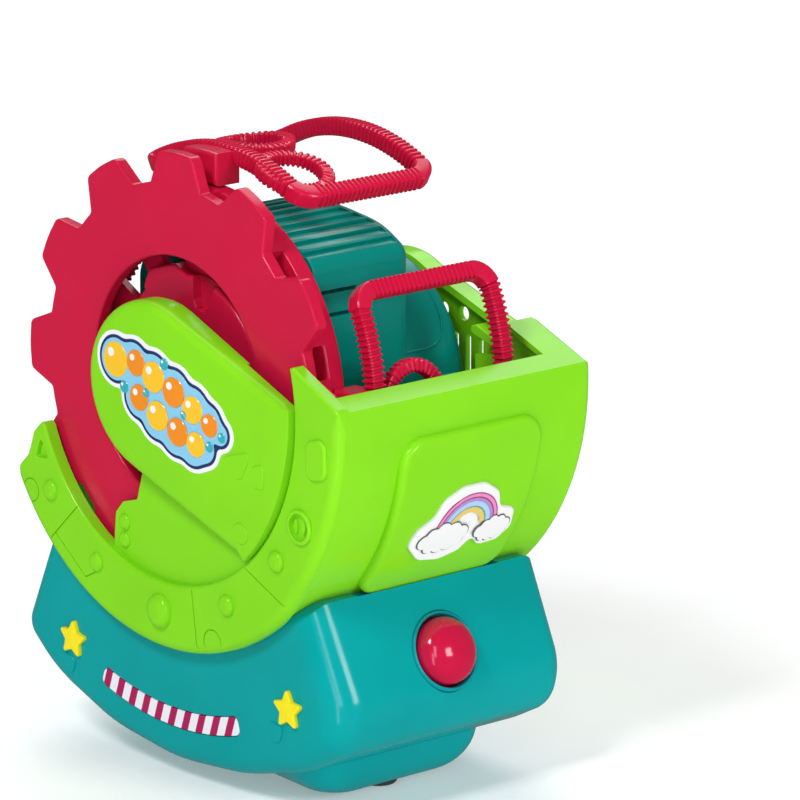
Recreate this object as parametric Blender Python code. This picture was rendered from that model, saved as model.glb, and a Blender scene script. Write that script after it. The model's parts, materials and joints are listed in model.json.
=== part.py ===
"""Battery bubble machine: a toothed wheel carries four ribbed wands through a solution trough.

The wheel turns on a motor-driven axle, a blower behind it sends air through each wand in turn,
and the whole machine stands on a rocker-shaped base with the push button and the batteries.

Sizes are in millimetres and become metres as each mesh is made. Shapes are described in the
wheel's frame: X runs along the wheel's axle, -Y is the front, +Z is up, and X = 0 is the face
of the toothed plate. A side outline lists (forward, up) pairs, forward being -Y.
"""
import math

import bmesh
import bpy
from mathutils import Matrix, Vector

MM = 0.001
GAP = 0.3

# Place of the wheel's axis in the machine's own frame
AXLE_X = -46.4
AXLE_Y = 3.7
AXLE_HEIGHT = 141.0

# Toothed wheel
TEETH = 12
TIP_RADIUS = 80.0
ROOT_RADIUS = 69.0
TIP_HALF_ANGLE = 5.6
ROOT_HALF_ANGLE = 11.2
EYE_RADIUS = 44.0
PLATE_THICKNESS = 4.5
RIM_RADIUS = 67.8
RIM_INNER_RADIUS = 57.0
RIM_BACK = 17.3
AXLE_RADIUS = 3.0
AXLE_SPAN = (-9.9, 31.0)
HUB_RADIUS = 9.0
HUB_SPAN = (2.0, 18.0)
WEB_SPAN = (8.0, 12.0)
RIM_STEP_RADIUS = 63.5
RIM_STEP = 10.5

# Wands
WAND_RADIUS = 77.5
WAND_NEAR = 22.0
WAND_FAR = 80.0
WAND_HALF_ANGLE = 30.5
WAND_CORNER = 7.0
WAND_TUBE = 3.1
RINGLET_RADIUS = 12.0
RINGLET_TUBE = 2.6
RINGLETS = ((30.5, -20.0), (38.0, 2.0))
POST_LEFT = 11.0
POST_ROOT_ANGLE = 7.1
POST_TOP_ANGLE = 6.2

# Drive train in the arm
GEAR_MODULE = 0.8
WHEEL_GEAR_TEETH = 36
SMALL_GEAR_TEETH = 12
LAYER_A = (-7.0, -5.2)
LAYER_B = (-9.4, -7.6)
ARM_RADIUS = 30.5
ARM_ANGLE = -22.5
ARM_BACK = -4.6
ARM_FRONT = -14.5
ARM_LENGTH = 63.0
ARM_TILT = 0.075
ARM_WALL = 2.2
ARM_EDGE = 3.5
MOTOR_CENTRE = (26.0, -15.2)
PLATE_BACK = -2.7

# Trough
TROUGH_RADIUS = 91.0
TROUGH_WALL = 2.5
TROUGH_LEFT = -3.6
TROUGH_RIGHT = 98.0
TROUGH_FRONT_ANGLE = 4.5
TROUGH_BACK_ANGLE = -152.0
FLANGE_FRONT = -6.7
FLANGE_OUTER = 92.5
FLANGE_INNER = 68.7
SIDE_WALL_INNER = 46.0
WALL_THICKNESS = 2.0
WEIR = [(-14.0, -33.0), (-17.0, -43.4), (-24.6, -45.6), (-28.6, -50.0), (-29.4, -58.0), (-30.0, -64.2),
        (0.0, -72.0), (24.0, -69.5), (45.0, -55.0), (45.0, -38.0), (20.0, -34.0)]
BOSSES = ((77.2, -141.5, 3.4), (77.4, -117.3, 3.1), (79.0, -91.0, 5.3), (77.5, -64.0, 3.7),
          (77.4, -39.3, 3.7), (79.8, -25.8, 5.4), (81.1, -7.1, 4.4))
LIP = [(90.7, 4.6), (90.7, 7.1), (83.0, 10.2), (82.9, 8.2), (88.2, 6.0), (88.2, 4.6)]
SIDE_LIP = [(64.0, 16.0), (64.0, 18.0), (90.7, 7.1), (90.7, 5.1)]
SIDE_LIP_LEFT = 92.7
SIDE_WEB = [(64.0, 4.0), (64.0, 17.0), (90.5, 6.2), (90.5, 4.0)]
COVER_RIGHT = 108.0
COVER_EDGE = 3.0
COVER_WALL = 2.2
COVER_CREST = [(90.6, 7.0), (64.4, 17.7), (63.8, 12.3)]
COVER_TAB = [(44.2, 10.6), (60.8, 5.7), (60.8, 8.6), (47.0, 14.0), (44.2, 13.2)]
VENT_HOLES = (-23.2, -12.8, -2.4, 8.0, 18.4, 28.8)
VENT_HOLE_HEIGHT = 13.0
VENT_HOLE_RADIUS = 2.6
VENT_SLOTS = 12
VENT_SLOT_PITCH = 6.3
VENT_SLOT_FIRST = -31.9
VENT_SLOT_TOP = 6.0
VENT_SLOT_WIDTH = 2.8
PAD_THICKNESS = 2.8
PAD_SPAN = (21.0, 84.0)
PAD_ANGLES = (-44.5, -4.0)
PAD_CORNER = 9.0
PUFF_SPAN = (28.0, 74.0)
PUFF_ANGLES = (-36.5, -12.8)
PUFF_CORNER = 6.0
PUFF_THICKNESS = 0.5

# Blower
FAN_Z = -8.0
DRUM_LEFT = 19.5
DRUM_RIGHT = 65.0
VOLUTE_RIGHT = 94.0
VOLUTE_RADIUS = 44.0
SHELL_WALL = 2.0
FAN_OPENING = 32.0
SLATS = ((2.5, 55.0), (10.0, 55.6), (17.5, 55.5), (24.4, 54.2), (30.3, 53.0), (35.6, 51.2))
SLAT_HALF_WIDTH = 0.6
SLAT_DEPTH = 0.9
SPOUT = [(10.0, -50.0), (54.0, -46.0), (57.0, -8.0), (30.0, 4.0)]
INLET_RADIUS = 20.0
IMPELLER_RADIUS = 34.0
IMPELLER_SPAN = (71.0, 86.0)
FAN_SHAFT_RADIUS = 1.2
BLADES = 10

# Base
BASE_LEFT = -0.7
BASE_RIGHT = 103.0
BASE_WALL = 2.6
BASE_EDGE = 7.0
BASE_MIDDLE = (BASE_LEFT + BASE_RIGHT) / 2
CRADLE_RADIUS = TROUGH_RADIUS + 0.5
FLARE = math.radians(23.8)
BUTTON_RADIUS = 11.7
BEZEL_RADIUS = 14.0
BUTTON_CENTRE = (79.3, -87.0)
BUTTON_DOME = 7.5
CELL_RADIUS = 7.2
CELL_LENGTH = 50.2
CELL_PLACES = ((-69.0, -95.0), (-54.2, -98.0), (-64.4, -80.9))
HOLDER_SPAN = (22.0, 80.5)
HOLDER_WALL = 1.6
CELL_CAP = (2.7, 1.2)
DOOR_SPAN = (23.0, 79.5)
DOOR_LOW = (-83.0, -94.9)
DOOR_LENGTH = 29.0
DOOR_THICKNESS = 2.3
FOOT_HEIGHT = 1.7
FOOT_RADIUS = 6.4
FOOT_PLACES = {"foot_front": (51.0, 45.8), "foot_left": (38.0, 22.0), "foot_right": (64.0, 22.0),
               "foot_rear_left": (42.0, -29.0), "foot_rear_right": (60.0, -29.0)}
FLOOR_LEVEL = -AXLE_HEIGHT
PEDESTAL_BOTTOM = FLOOR_LEVEL + FOOT_HEIGHT + GAP
PEDESTAL_LEDGE = 8.0
PEDESTAL_RISE = 15.0
PEDESTAL_FOOT = [(26.0, 52.0), (76.0, 52.0), (66.0, -36.0), (36.0, -36.0)]
PEDESTAL_TOP = [(10.0, 60.0), (92.0, 60.0), (80.0, -46.0), (22.0, -46.0)]
STAR_RADIUS = 7.0
STAR_THICKNESS = 1.6
STARS = (("star_rear", (-56.0, -101.6), 80), ("star_front", (59.0, -101.6), 95))
INSERT_RADIUS = 118.0
INSERT_HALF_WIDTH = 3.4
INSERT_ANGLES = (-108.2, -75.6)


# ------------------------------------------------------------------ materials and scene

COLOURS = {
    "raspberry": ((0.62, 0.02, 0.07), 0.32, 0.0),
    "lime": ((0.27, 0.80, 0.03), 0.30, 0.0),
    "teal": ((0.0, 0.37, 0.40), 0.32, 0.0),
    "deep_teal": ((0.0, 0.27, 0.25), 0.34, 0.0),
    "yellow": ((0.95, 0.78, 0.02), 0.35, 0.0),
    "white": ((0.85, 0.83, 0.90), 0.40, 0.0),
    "steel": ((0.60, 0.60, 0.62), 0.30, 1.0),
    "gear_white": ((0.80, 0.79, 0.74), 0.45, 0.0),
    "black": ((0.03, 0.03, 0.035), 0.45, 0.0),
    "rubber": ((0.04, 0.09, 0.09), 0.80, 0.0),
    "board_green": ((0.02, 0.20, 0.08), 0.40, 0.0),
}


def clear_scene():
    for old in list(bpy.data.objects):
        bpy.data.objects.remove(old, do_unlink=True)


def material_for(name, colour):
    rgb, roughness, metallic = COLOURS[colour]
    material = bpy.data.materials.new(name)
    material.use_nodes = True
    shader = material.node_tree.nodes["Principled BSDF"]
    shader.inputs["Base Color"].default_value = (*rgb, 1.0)
    shader.inputs["Roughness"].default_value = roughness
    shader.inputs["Metallic"].default_value = metallic
    return material


def add_empty(name, spot, parent=None):
    """An empty at a joint's axis; it remembers its place in the wheel's frame."""
    empty = bpy.data.objects.new(name, None)
    bpy.context.collection.objects.link(empty)
    empty.location = Vector(spot) * MM
    empty.parent = parent
    empty["spot"] = spot if parent else (0.0, 0.0, 0.0)
    return empty


def make_object(name, mesh_data, colour, parent):
    """A mesh object from (points, faces) in the wheel's frame, with its origin at its parent's."""
    points, faces = mesh_data
    mesh = bpy.data.meshes.new(name)
    shift = Vector(parent["spot"])
    mesh.from_pydata([(Vector(p) - shift) * MM for p in points], [], faces)
    shape = bmesh.new()
    shape.from_mesh(mesh)
    bmesh.ops.remove_doubles(shape, verts=shape.verts, dist=1e-6)
    bmesh.ops.recalc_face_normals(shape, faces=shape.faces)
    shape.to_mesh(mesh)
    shape.free()
    mesh.shade_smooth()
    mesh.set_sharp_from_angle(angle=math.radians(35))
    piece = bpy.data.objects.new(name, mesh)
    bpy.context.collection.objects.link(piece)
    piece.parent = parent
    if colour is not None:
        mesh.materials.append(material_for(name, colour))
    return piece


def combine(piece, mesh_data, operation, tag):
    """Cuts with, joins or keeps the overlap of another shape through a Boolean modifier."""
    tool = make_object(f"{piece.name}_{tag}", mesh_data, None, piece.parent)
    tool.hide_render = True
    tool.display_type = "WIRE"
    step = piece.modifiers.new(tag, "BOOLEAN")
    step.operation = operation
    step.object = tool
    step.solver = "EXACT"
    return piece


def cut(piece, mesh_data, tag):
    return combine(piece, mesh_data, "DIFFERENCE", tag)


def join(piece, mesh_data, tag):
    return combine(piece, mesh_data, "UNION", tag)


# ------------------------------------------------------------------ outlines in (forward, up)

def polar(radius, degrees, centre=(0.0, 0.0)):
    angle = math.radians(degrees)
    return (centre[0] + radius * math.cos(angle), centre[1] + radius * math.sin(angle))


def arc(radius, start, end, steps, centre=(0.0, 0.0)):
    return [polar(radius, start + (end - start) * i / steps, centre) for i in range(steps + 1)]


def circle(radius, count, centre=(0.0, 0.0), phase=0.0):
    return [polar(radius, phase + 360.0 * i / count, centre) for i in range(count)]


def rounded(corners, radius, steps=4):
    """A closed outline whose corners are rounded; radius may be one value or one per corner."""
    radii = radius if isinstance(radius, (list, tuple)) else [radius] * len(corners)
    outline = []
    for index, corner in enumerate(corners):
        here = Vector(corner)
        before = (Vector(corners[index - 1]) - here)
        after = (Vector(corners[(index + 1) % len(corners)]) - here)
        half = before.angle(after) / 2
        reach = min(radii[index] / math.tan(half), before.length * 0.49, after.length * 0.49)
        size = reach * math.tan(half)
        if size < 0.01:
            outline.append(tuple(here))
            continue
        start = here + before.normalized() * reach
        middle = here + (before.normalized() + after.normalized()).normalized() * (size / math.sin(half))
        sweep = math.pi - 2 * half
        arm = start - middle
        side = 1.0 if before.cross(after) < 0 else -1.0
        for i in range(steps + 1):
            turn = side * sweep * i / steps
            outline.append((middle.x + arm.x * math.cos(turn) - arm.y * math.sin(turn),
                            middle.y + arm.x * math.sin(turn) + arm.y * math.cos(turn)))
    return outline


def inset(outline, distance):
    """Moves a closed outline inwards by distance, mitring its corners."""
    count = len(outline)
    area = sum(outline[i][0] * outline[(i + 1) % count][1] - outline[(i + 1) % count][0] * outline[i][1]
               for i in range(count))
    side = 1.0 if area > 0 else -1.0
    moved = []
    for i in range(count):
        before = (Vector(outline[i]) - Vector(outline[i - 1])).normalized()
        after = (Vector(outline[(i + 1) % count]) - Vector(outline[i])).normalized()
        normal_a = Vector((-before.y, before.x)) * side
        normal_b = Vector((-after.y, after.x)) * side
        bisector = (normal_a + normal_b).normalized()
        moved.append(tuple(Vector(outline[i]) + bisector * (distance / max(bisector.dot(normal_a), 0.3))))
    return moved


def stadium(radius, length, angle, steps=10):
    """Round-ended bar outline from the axle outwards at angle, its far end square."""
    near = arc(radius, angle + 90, angle + 270, steps * 2)
    far_low = polar(length, angle, near[-1])
    far_high = polar(length, angle, near[0])
    return near + [far_low, far_high]


# ------------------------------------------------------------------ solids

def place(x, pair):
    return (x, -pair[0], pair[1])


def stack(sections):
    """Skins equal-length outlines, each given as (x or list of x, outline), into a closed solid."""
    count = len(sections[0][1])
    points = []
    for x, outline in sections:
        xs = x if isinstance(x, list) else [x] * count
        points += [place(xs[i], outline[i]) for i in range(count)]
    faces = [list(range(count))]
    for level in range(len(sections) - 1):
        base = level * count
        for i in range(count):
            j = (i + 1) % count
            faces.append([base + i, base + j, base + count + j, base + count + i])
    faces.append(list(range(len(points) - count, len(points))))
    return points, faces


def prism(outline, x0, x1):
    return stack([(x0, outline), (x1, outline)])


def soft_prism(outline, x0, x1, radius0=0.0, radius1=0.0, steps=3):
    """A prism with its two end edges rounded."""
    sections = []
    if radius0 > 0:
        for i in range(steps):
            angle = math.pi / 2 * i / steps
            sections.append((x0 + radius0 * (1 - math.cos(angle)),
                             inset(outline, radius0 * (1 - math.sin(angle)))))
        sections.append((x0 + radius0, outline))
    else:
        sections.append((x0, outline))
    if radius1 > 0:
        sections.append((x1 - radius1, outline))
        for i in range(1, steps + 1):
            angle = math.pi / 2 * i / steps
            sections.append((x1 - radius1 * (1 - math.sin(angle)),
                             inset(outline, radius1 * (1 - math.cos(angle)))))
    else:
        sections.append((x1, outline))
    return stack(sections)


def ring_prism(outer, inner, x0, x1):
    """A plate between two outlines with the same number of points."""
    count = len(outer)
    points = []
    for x in (x0, x1):
        points += [place(x, p) for p in outer]
        points += [place(x, p) for p in inner]
    faces = []
    for i in range(count):
        j = (i + 1) % count
        faces.append([i, j, count + j, count + i])
        faces.append([2 * count + i, 2 * count + j, 3 * count + j, 3 * count + i])
        faces.append([i, j, 2 * count + j, 2 * count + i])
        faces.append([count + i, count + j, 3 * count + j, 3 * count + i])
    return points, faces


def lathe(profile, segments, start=0.0, end=360.0, centre=(0.0, 0.0)):
    """Turns a closed (x, radius) profile about an axis along X, all round or over an arc."""
    whole = abs(end - start) >= 360.0
    rows = segments if whole else segments + 1
    points = []
    for row in range(rows):
        angle = start + (end - start) * row / segments
        points += [place(x, polar(r, angle, centre)) for x, r in profile]
    count = len(profile)
    faces = []
    for row in range(segments):
        here = row * count
        there = ((row + 1) % rows) * count
        for i in range(count):
            j = (i + 1) % count
            faces.append([here + i, here + j, there + j, there + i])
    if not whole:
        faces.append(list(range(count)))
        faces.append(list(range(len(points) - count, len(points))))
    return points, faces


def turned(profile, segments, centre=(0.0, 0.0)):
    """A solid of revolution from (x, radius) pairs, with flat ends."""
    return stack([(x, circle(r, segments, centre)) for x, r in profile])


def tube(path, radius, sides, closed):
    """A round tube along a path of points."""
    path = [Vector(p) for p in path]
    count = len(path)
    points = []
    guide = None
    for i in range(count):
        before = path[i - 1] if closed or i > 0 else path[i]
        after = path[(i + 1) % count] if closed or i < count - 1 else path[i]
        direction = (after - before).normalized()
        if guide is None:
            guide = direction.orthogonal().normalized()
        guide = (guide - direction * guide.dot(direction)).normalized()
        other = direction.cross(guide)
        for k in range(sides):
            turn = 2 * math.pi * k / sides
            points.append(tuple(path[i] + (guide * math.cos(turn) + other * math.sin(turn)) * radius))
    faces = []
    spans = count if closed else count - 1
    for i in range(spans):
        here = i * sides
        there = ((i + 1) % count) * sides
        offset = 0
        if closed and i == count - 1:
            offset = min(range(sides), key=lambda s: (Vector(points[s]) - Vector(points[here])).length)
        for k in range(sides):
            faces.append([here + k, here + (k + 1) % sides,
                          there + (k + 1 + offset) % sides, there + (k + offset) % sides])
    if not closed:
        faces.append(list(range(sides)))
        faces.append(list(range(len(points) - sides, len(points))))
    return points, faces


def box(x0, x1, forward0, forward1, z0, z1):
    return prism([(forward0, z0), (forward1, z0), (forward1, z1), (forward0, z1)], x0, x1)


def moved(mesh_data, matrix):
    points, faces = mesh_data
    return [tuple(matrix @ Vector(p)) for p in points], faces


def gear_outline(teeth, phase, bore_points=False):
    """Trapezoid gear teeth of the drive's module; phase is where a tooth points."""
    pitch = teeth * GEAR_MODULE / 2
    tip = pitch + 0.62 * GEAR_MODULE
    root = pitch - 0.95 * GEAR_MODULE
    tip_half = 0.11 * 360.0 / teeth
    root_half = 0.27 * 360.0 / teeth
    outline = []
    for i in range(teeth):
        middle = phase + 360.0 * i / teeth
        outline += [(root, middle - root_half), (tip, middle - tip_half),
                    (tip, middle + tip_half), (root, middle + root_half)]
    if bore_points:
        return [polar(1.0, angle) for _, angle in outline]
    return [polar(radius, angle) for radius, angle in outline]


def at(outline, centre):
    return [(p[0] + centre[0], p[1] + centre[1]) for p in outline]


def wrapped(outline, radius0, radius1):
    """Wraps an (x, degrees) outline round the trough as a thin patch between two radii.

    The outline is symmetrical left to right about its own points' order, so the patch is
    built as strips between mirrored points.
    """
    count = len(outline)
    points = []
    for radius in (radius0, radius1):
        points += [place(x, polar(radius, angle)) for x, angle in outline]
    faces = []
    for k in range(2):
        base = k * count
        for i in range(count // 2 - 1):
            j = count - 1 - i
            faces.append([base + i, base + i + 1, base + j - 1, base + j])
    for i in range(count):
        j = (i + 1) % count
        faces.append([i, j, count + j, count + i])
    return points, faces


# ------------------------------------------------------------------ wheel

def toothed_outline():
    outline = []
    for i in range(TEETH):
        middle = 360.0 * i / TEETH
        outline += [polar(ROOT_RADIUS, middle - 180.0 / TEETH), polar(ROOT_RADIUS, middle - ROOT_HALF_ANGLE),
                    polar(TIP_RADIUS - 1.2, middle - TIP_HALF_ANGLE - 0.9),
                    polar(TIP_RADIUS, middle - TIP_HALF_ANGLE + 0.4),
                    polar(TIP_RADIUS, middle + TIP_HALF_ANGLE - 0.4),
                    polar(TIP_RADIUS - 1.2, middle + TIP_HALF_ANGLE + 0.9),
                    polar(ROOT_RADIUS, middle + ROOT_HALF_ANGLE)]
    return outline


def build_wheel(axis):
    outline = toothed_outline()
    eye = circle(EYE_RADIUS, len(outline), phase=-180.0 / TEETH)
    make_object("wheel_tooth_plate", ring_prism(outline, eye, 0.0, PLATE_THICKNESS), "raspberry", axis)

    core = PLATE_THICKNESS + GAP
    rim_profile = [(core, RIM_INNER_RADIUS), (core, RIM_STEP_RADIUS), (RIM_STEP, RIM_STEP_RADIUS),
                   (RIM_STEP, RIM_RADIUS), (RIM_BACK, RIM_RADIUS), (RIM_BACK, RIM_INNER_RADIUS)]
    make_object("wheel_rim", lathe(rim_profile, 60), "raspberry", axis)

    bore = AXLE_RADIUS + GAP
    web = RIM_INNER_RADIUS - GAP
    hub_front, hub_back = HUB_SPAN
    web_front, web_back = WEB_SPAN
    hub_profile = [(hub_front, bore), (hub_front, HUB_RADIUS), (web_front, HUB_RADIUS), (web_front, web),
                   (web_back, web), (web_back, HUB_RADIUS), (hub_back, HUB_RADIUS), (hub_back, bore)]
    hub = make_object("wheel_hub", lathe(hub_profile, 36), "raspberry", axis)
    for i in range(6):
        middle = 60.0 * i
        window = [polar(27, middle - 9), polar(27, middle + 9),
                  polar(44, middle + 13), polar(44, middle - 13)]
        cut(hub, prism(window, 5.0, 15.0), f"window_{i}")

    make_object("wheel_axle", prism(circle(AXLE_RADIUS, 20), *AXLE_SPAN), "steel", axis)

    teeth = gear_outline(WHEEL_GEAR_TEETH, mesh_angle(GEAR_A))
    bore_edge = [(p[0] * bore, p[1] * bore)
                 for p in gear_outline(WHEEL_GEAR_TEETH, mesh_angle(GEAR_A), bore_points=True)]
    make_object("wheel_gear", ring_prism(teeth, bore_edge, *LAYER_A), "gear_white", axis)


def wand_path(centre_angle):
    """The outer loop: a rounded rectangle laid on a cylinder about the wheel's axis."""
    half = WAND_HALF_ANGLE * math.pi / 180 * WAND_RADIUS
    corners = [(WAND_NEAR, -half), (WAND_FAR, -half), (WAND_FAR, half), (WAND_NEAR, half)]
    flat = rounded(corners, WAND_CORNER, 3)
    path = []
    for index, (x, s) in enumerate(flat):
        x_next, s_next = flat[(index + 1) % len(flat)]
        pieces = 6 if abs(s_next - s) > 30 else 1
        path += [(x + (x_next - x) * k / pieces, s + (s_next - s) * k / pieces) for k in range(pieces)]
    return [place(x, polar(WAND_RADIUS, centre_angle + math.degrees(s / WAND_RADIUS))) for x, s in path]


def ringlet_path(centre_angle, x, offset):
    points = []
    for i in range(16):
        turn = 2 * math.pi * i / 16
        angle = centre_angle + offset + math.degrees(RINGLET_RADIUS * math.sin(turn) / WAND_RADIUS)
        points.append(place(x + RINGLET_RADIUS * math.cos(turn), polar(WAND_RADIUS, angle)))
    return points


def build_wands(axis):
    for name, centre_angle in (("front", 0), ("top", 90), ("back", 180), ("bottom", 270)):
        loop = tube(wand_path(centre_angle), WAND_TUBE, 8, True)
        wand = make_object(f"wand_{name}", loop, "raspberry", axis)
        for number, (x, offset) in enumerate(RINGLETS):
            ringlet = tube(ringlet_path(centre_angle, x, offset), RINGLET_TUBE, 6, True)
            join(wand, ringlet, f"ringlet_{number}")
        root = RIM_RADIUS + GAP + 0.2
        post = arc(root, centre_angle - POST_ROOT_ANGLE, centre_angle + POST_ROOT_ANGLE, 4)
        post += [polar(WAND_RADIUS + 1.0, centre_angle + POST_TOP_ANGLE),
                 polar(WAND_RADIUS + 1.0, centre_angle - POST_TOP_ANGLE)]
        join(wand, prism(post, POST_LEFT, WAND_NEAR + 0.7), "post")


# ------------------------------------------------------------------ drive train in the arm

def gear_distance(teeth_a, teeth_b):
    return (teeth_a + teeth_b) * GEAR_MODULE / 2


def find_reduction_centre():
    """The reduction gear meshes with both the wheel's gear and the motor's pinion."""
    reach = gear_distance(WHEEL_GEAR_TEETH, SMALL_GEAR_TEETH)
    span = math.hypot(*MOTOR_CENTRE)
    height = math.sqrt(reach ** 2 - (span / 2) ** 2)
    along = (MOTOR_CENTRE[0] / span, MOTOR_CENTRE[1] / span)
    return (MOTOR_CENTRE[0] / 2 - along[1] * height, MOTOR_CENTRE[1] / 2 + along[0] * height)


GEAR_A = find_reduction_centre()


def mesh_angle(towards, centre=(0.0, 0.0)):
    return math.degrees(math.atan2(towards[1] - centre[1], towards[0] - centre[0]))


def build_drive(frame, reduction_axis, pinion_axis):
    towards_wheel = mesh_angle((0, 0), GEAR_A) + 180.0 / SMALL_GEAR_TEETH
    towards_motor = mesh_angle(MOTOR_CENTRE, GEAR_A)
    small = at(gear_outline(SMALL_GEAR_TEETH, towards_wheel), GEAR_A)
    large = at(gear_outline(WHEEL_GEAR_TEETH, towards_motor), GEAR_A)
    gear = make_object("reduction_gear", prism(large, *LAYER_B), "gear_white", reduction_axis)
    join(gear, prism(small, LAYER_B[1] - 0.4, LAYER_A[1]), "pinion")
    cut(gear, prism(circle(1.5, 16, GEAR_A), -12.0, -3.0), "bore")

    towards_gear = mesh_angle(GEAR_A, MOTOR_CENTRE) + 180.0 / SMALL_GEAR_TEETH
    pinion_shape = prism(at(gear_outline(SMALL_GEAR_TEETH, towards_gear), MOTOR_CENTRE), *LAYER_B)
    pinion = make_object("motor_pinion", pinion_shape, "gear_white", pinion_axis)
    join(pinion, prism(circle(1.2, 12, MOTOR_CENTRE), LAYER_B[1] - 0.4, -5.0), "shaft")

    make_object("gear_pin", prism(circle(1.1, 12, GEAR_A), -10.4, -3.0), "steel", frame)
    motor_profile = [(-4.0, 3.2), (-2.3, 3.2), (-2.3, 9.8), (-1.5, 10.2), (5.0, 10.2), (5.8, 9.4)]
    make_object("wheel_motor", turned(motor_profile, 24, MOTOR_CENTRE), "steel", frame)
    bush = AXLE_RADIUS + GAP
    make_object("front_bush", ring_prism(circle(5.6, 24), circle(bush, 24), -4.9, 0.8), "gear_white", frame)


def arm_sections(outline, back, front, tilt, edge):
    """The arm's outer shape: its face leans back towards the rim, and its front edge is round."""
    direction = polar(1.0, ARM_ANGLE)

    def face(points, lift):
        return [front + lift + tilt * max(0.0, p[0] * direction[0] + p[1] * direction[1]) for p in points]

    sections = [(back, outline)]
    for i in range(4):
        angle = math.pi / 2 * i / 3
        ring = inset(outline, edge * (1 - math.cos(angle)))
        sections.append((face(outline, edge * (1 - math.sin(angle))), ring))
    return sections


def build_arm(frame):
    outline = stadium(ARM_RADIUS, ARM_LENGTH, ARM_ANGLE)
    shell = stack(arm_sections(outline, ARM_BACK, ARM_FRONT, ARM_TILT, ARM_EDGE))
    arm = make_object("drive_arm_cover", shell, "lime", frame)
    clip = arc(FLANGE_INNER - GAP, ARM_ANGLE - 50, ARM_ANGLE + 50, 24)
    far = [polar(130.0, ARM_ANGLE + 50), polar(130.0, ARM_ANGLE - 50)]
    cut(arm, prism(clip + far, -30.0, 5.0), "rim_clearance")
    cavity = stadium(ARM_RADIUS - ARM_WALL, 37.5, ARM_ANGLE)
    cut(arm, prism(cavity, -11.2, ARM_BACK + 3.0), "gear_bay")

    label = circle(19.0, 32, polar(12.0, ARM_ANGLE))
    direction = polar(1.0, ARM_ANGLE)
    faces = [ARM_FRONT - GAP + ARM_TILT * max(0.0, p[0] * direction[0] + p[1] * direction[1])
             for p in label]
    film = stack([([x - 0.4 for x in faces], label), (faces, label)])
    make_object("arm_sticker", film, "white", frame)

    plate_outline = stadium(ARM_RADIUS - 0.6, 33.0, ARM_ANGLE)
    plate = make_object("drive_arm_plate", prism(plate_outline, ARM_BACK + GAP, PLATE_BACK), "lime", frame)
    cut(plate, prism(inset(WEIR, -0.5), -8.0, 3.0), "weir_clearance")
    cut(plate, prism(circle(5.9, 24), -8.0, 3.0), "axle_hole")
    cut(plate, prism(circle(3.6, 16, MOTOR_CENTRE), -8.0, 3.0), "motor_hole")
    cut(plate, prism(circle(1.4, 12, GEAR_A), -8.0, 3.0), "pin_hole")
    for number, degrees in enumerate((100.0, -140.0)):
        hole = polar(25.0, ARM_ANGLE + degrees)
        make_object(f"arm_screw_{number + 1}", screw(-2.4, hole, 2.4, 1.6), "steel", frame)


def screw(head_back, centre, head_radius, head_height):
    """A pan-head screw seen from its head, which faces +X."""
    profile = [(head_back, head_radius), (head_back + head_height * 0.6, head_radius),
               (head_back + head_height, head_radius * 0.55)]
    return turned(profile, 12, centre)


# ------------------------------------------------------------------ trough and covers

def spike_outline():
    """The left wall: a ring about the axle, with the raised horn at the front and a stepped back end."""
    inner = arc(FLANGE_INNER, 15.4, -158.0, 44)
    back_steps = [(-70.4, -28.8), (-71.6, -33.3), (-75.5, -36.5), (-79.5, -43.1)]
    outer = arc(FLANGE_OUTER, -150.5, 1.0, 40)
    return inner + [(-66.5, -24.6)] + back_steps + outer + [(91.4, 7.2), (90.2, 8.0)]


def build_trough(frame):
    radius = TROUGH_RADIUS
    inner = radius - TROUGH_WALL
    left = TROUGH_LEFT
    right = TROUGH_RIGHT
    wall_back = left + WALL_THICKNESS
    side = right - TROUGH_WALL
    profile = [(left, FLANGE_INNER), (left, radius - 1.5), (left + 1.5, radius), (right, radius),
               (right, SIDE_WALL_INNER), (side, SIDE_WALL_INNER), (side, inner), (wall_back, inner),
               (wall_back, FLANGE_INNER)]
    tub = make_object("trough_tub", lathe(profile, 40, TROUGH_BACK_ANGLE, TROUGH_FRONT_ANGLE), "lime", frame)
    join(tub, prism(WEIR, left, wall_back), "weir")
    join(tub, prism(LIP, left, right), "lip")
    join(tub, prism(SIDE_WEB, side, right), "side_web")
    join(tub, prism(SIDE_LIP, SIDE_LIP_LEFT, right), "side_lip")

    flange_plate = prism(spike_outline(), FLANGE_FRONT, TROUGH_LEFT - GAP)
    flange = make_object("left_cover", flange_plate, "lime", frame)
    for number, (radius_at, degrees, size) in enumerate(BOSSES):
        centre = polar(radius_at, degrees)
        dome = stack([(FLANGE_FRONT + 0.5, circle(size, 16, centre)),
                      (FLANGE_FRONT - 0.45 * size, circle(size * 0.9, 16, centre)),
                      (FLANGE_FRONT - 0.8 * size, circle(size * 0.45, 16, centre))])
        join(flange, dome, f"boss_{number}")

    pad_base = TROUGH_RADIUS + GAP
    pad_face = pad_base + PAD_THICKNESS
    pad = pad_patch(*PAD_SPAN, *PAD_ANGLES, pad_base, pad_face, PAD_CORNER)
    make_object("front_pad", pad, "lime", frame)
    puff_base = pad_face + GAP
    puff = pad_patch(*PUFF_SPAN, *PUFF_ANGLES, puff_base, puff_base + PUFF_THICKNESS, PUFF_CORNER)
    make_object("rainbow_sticker", puff, "white", frame)


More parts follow.
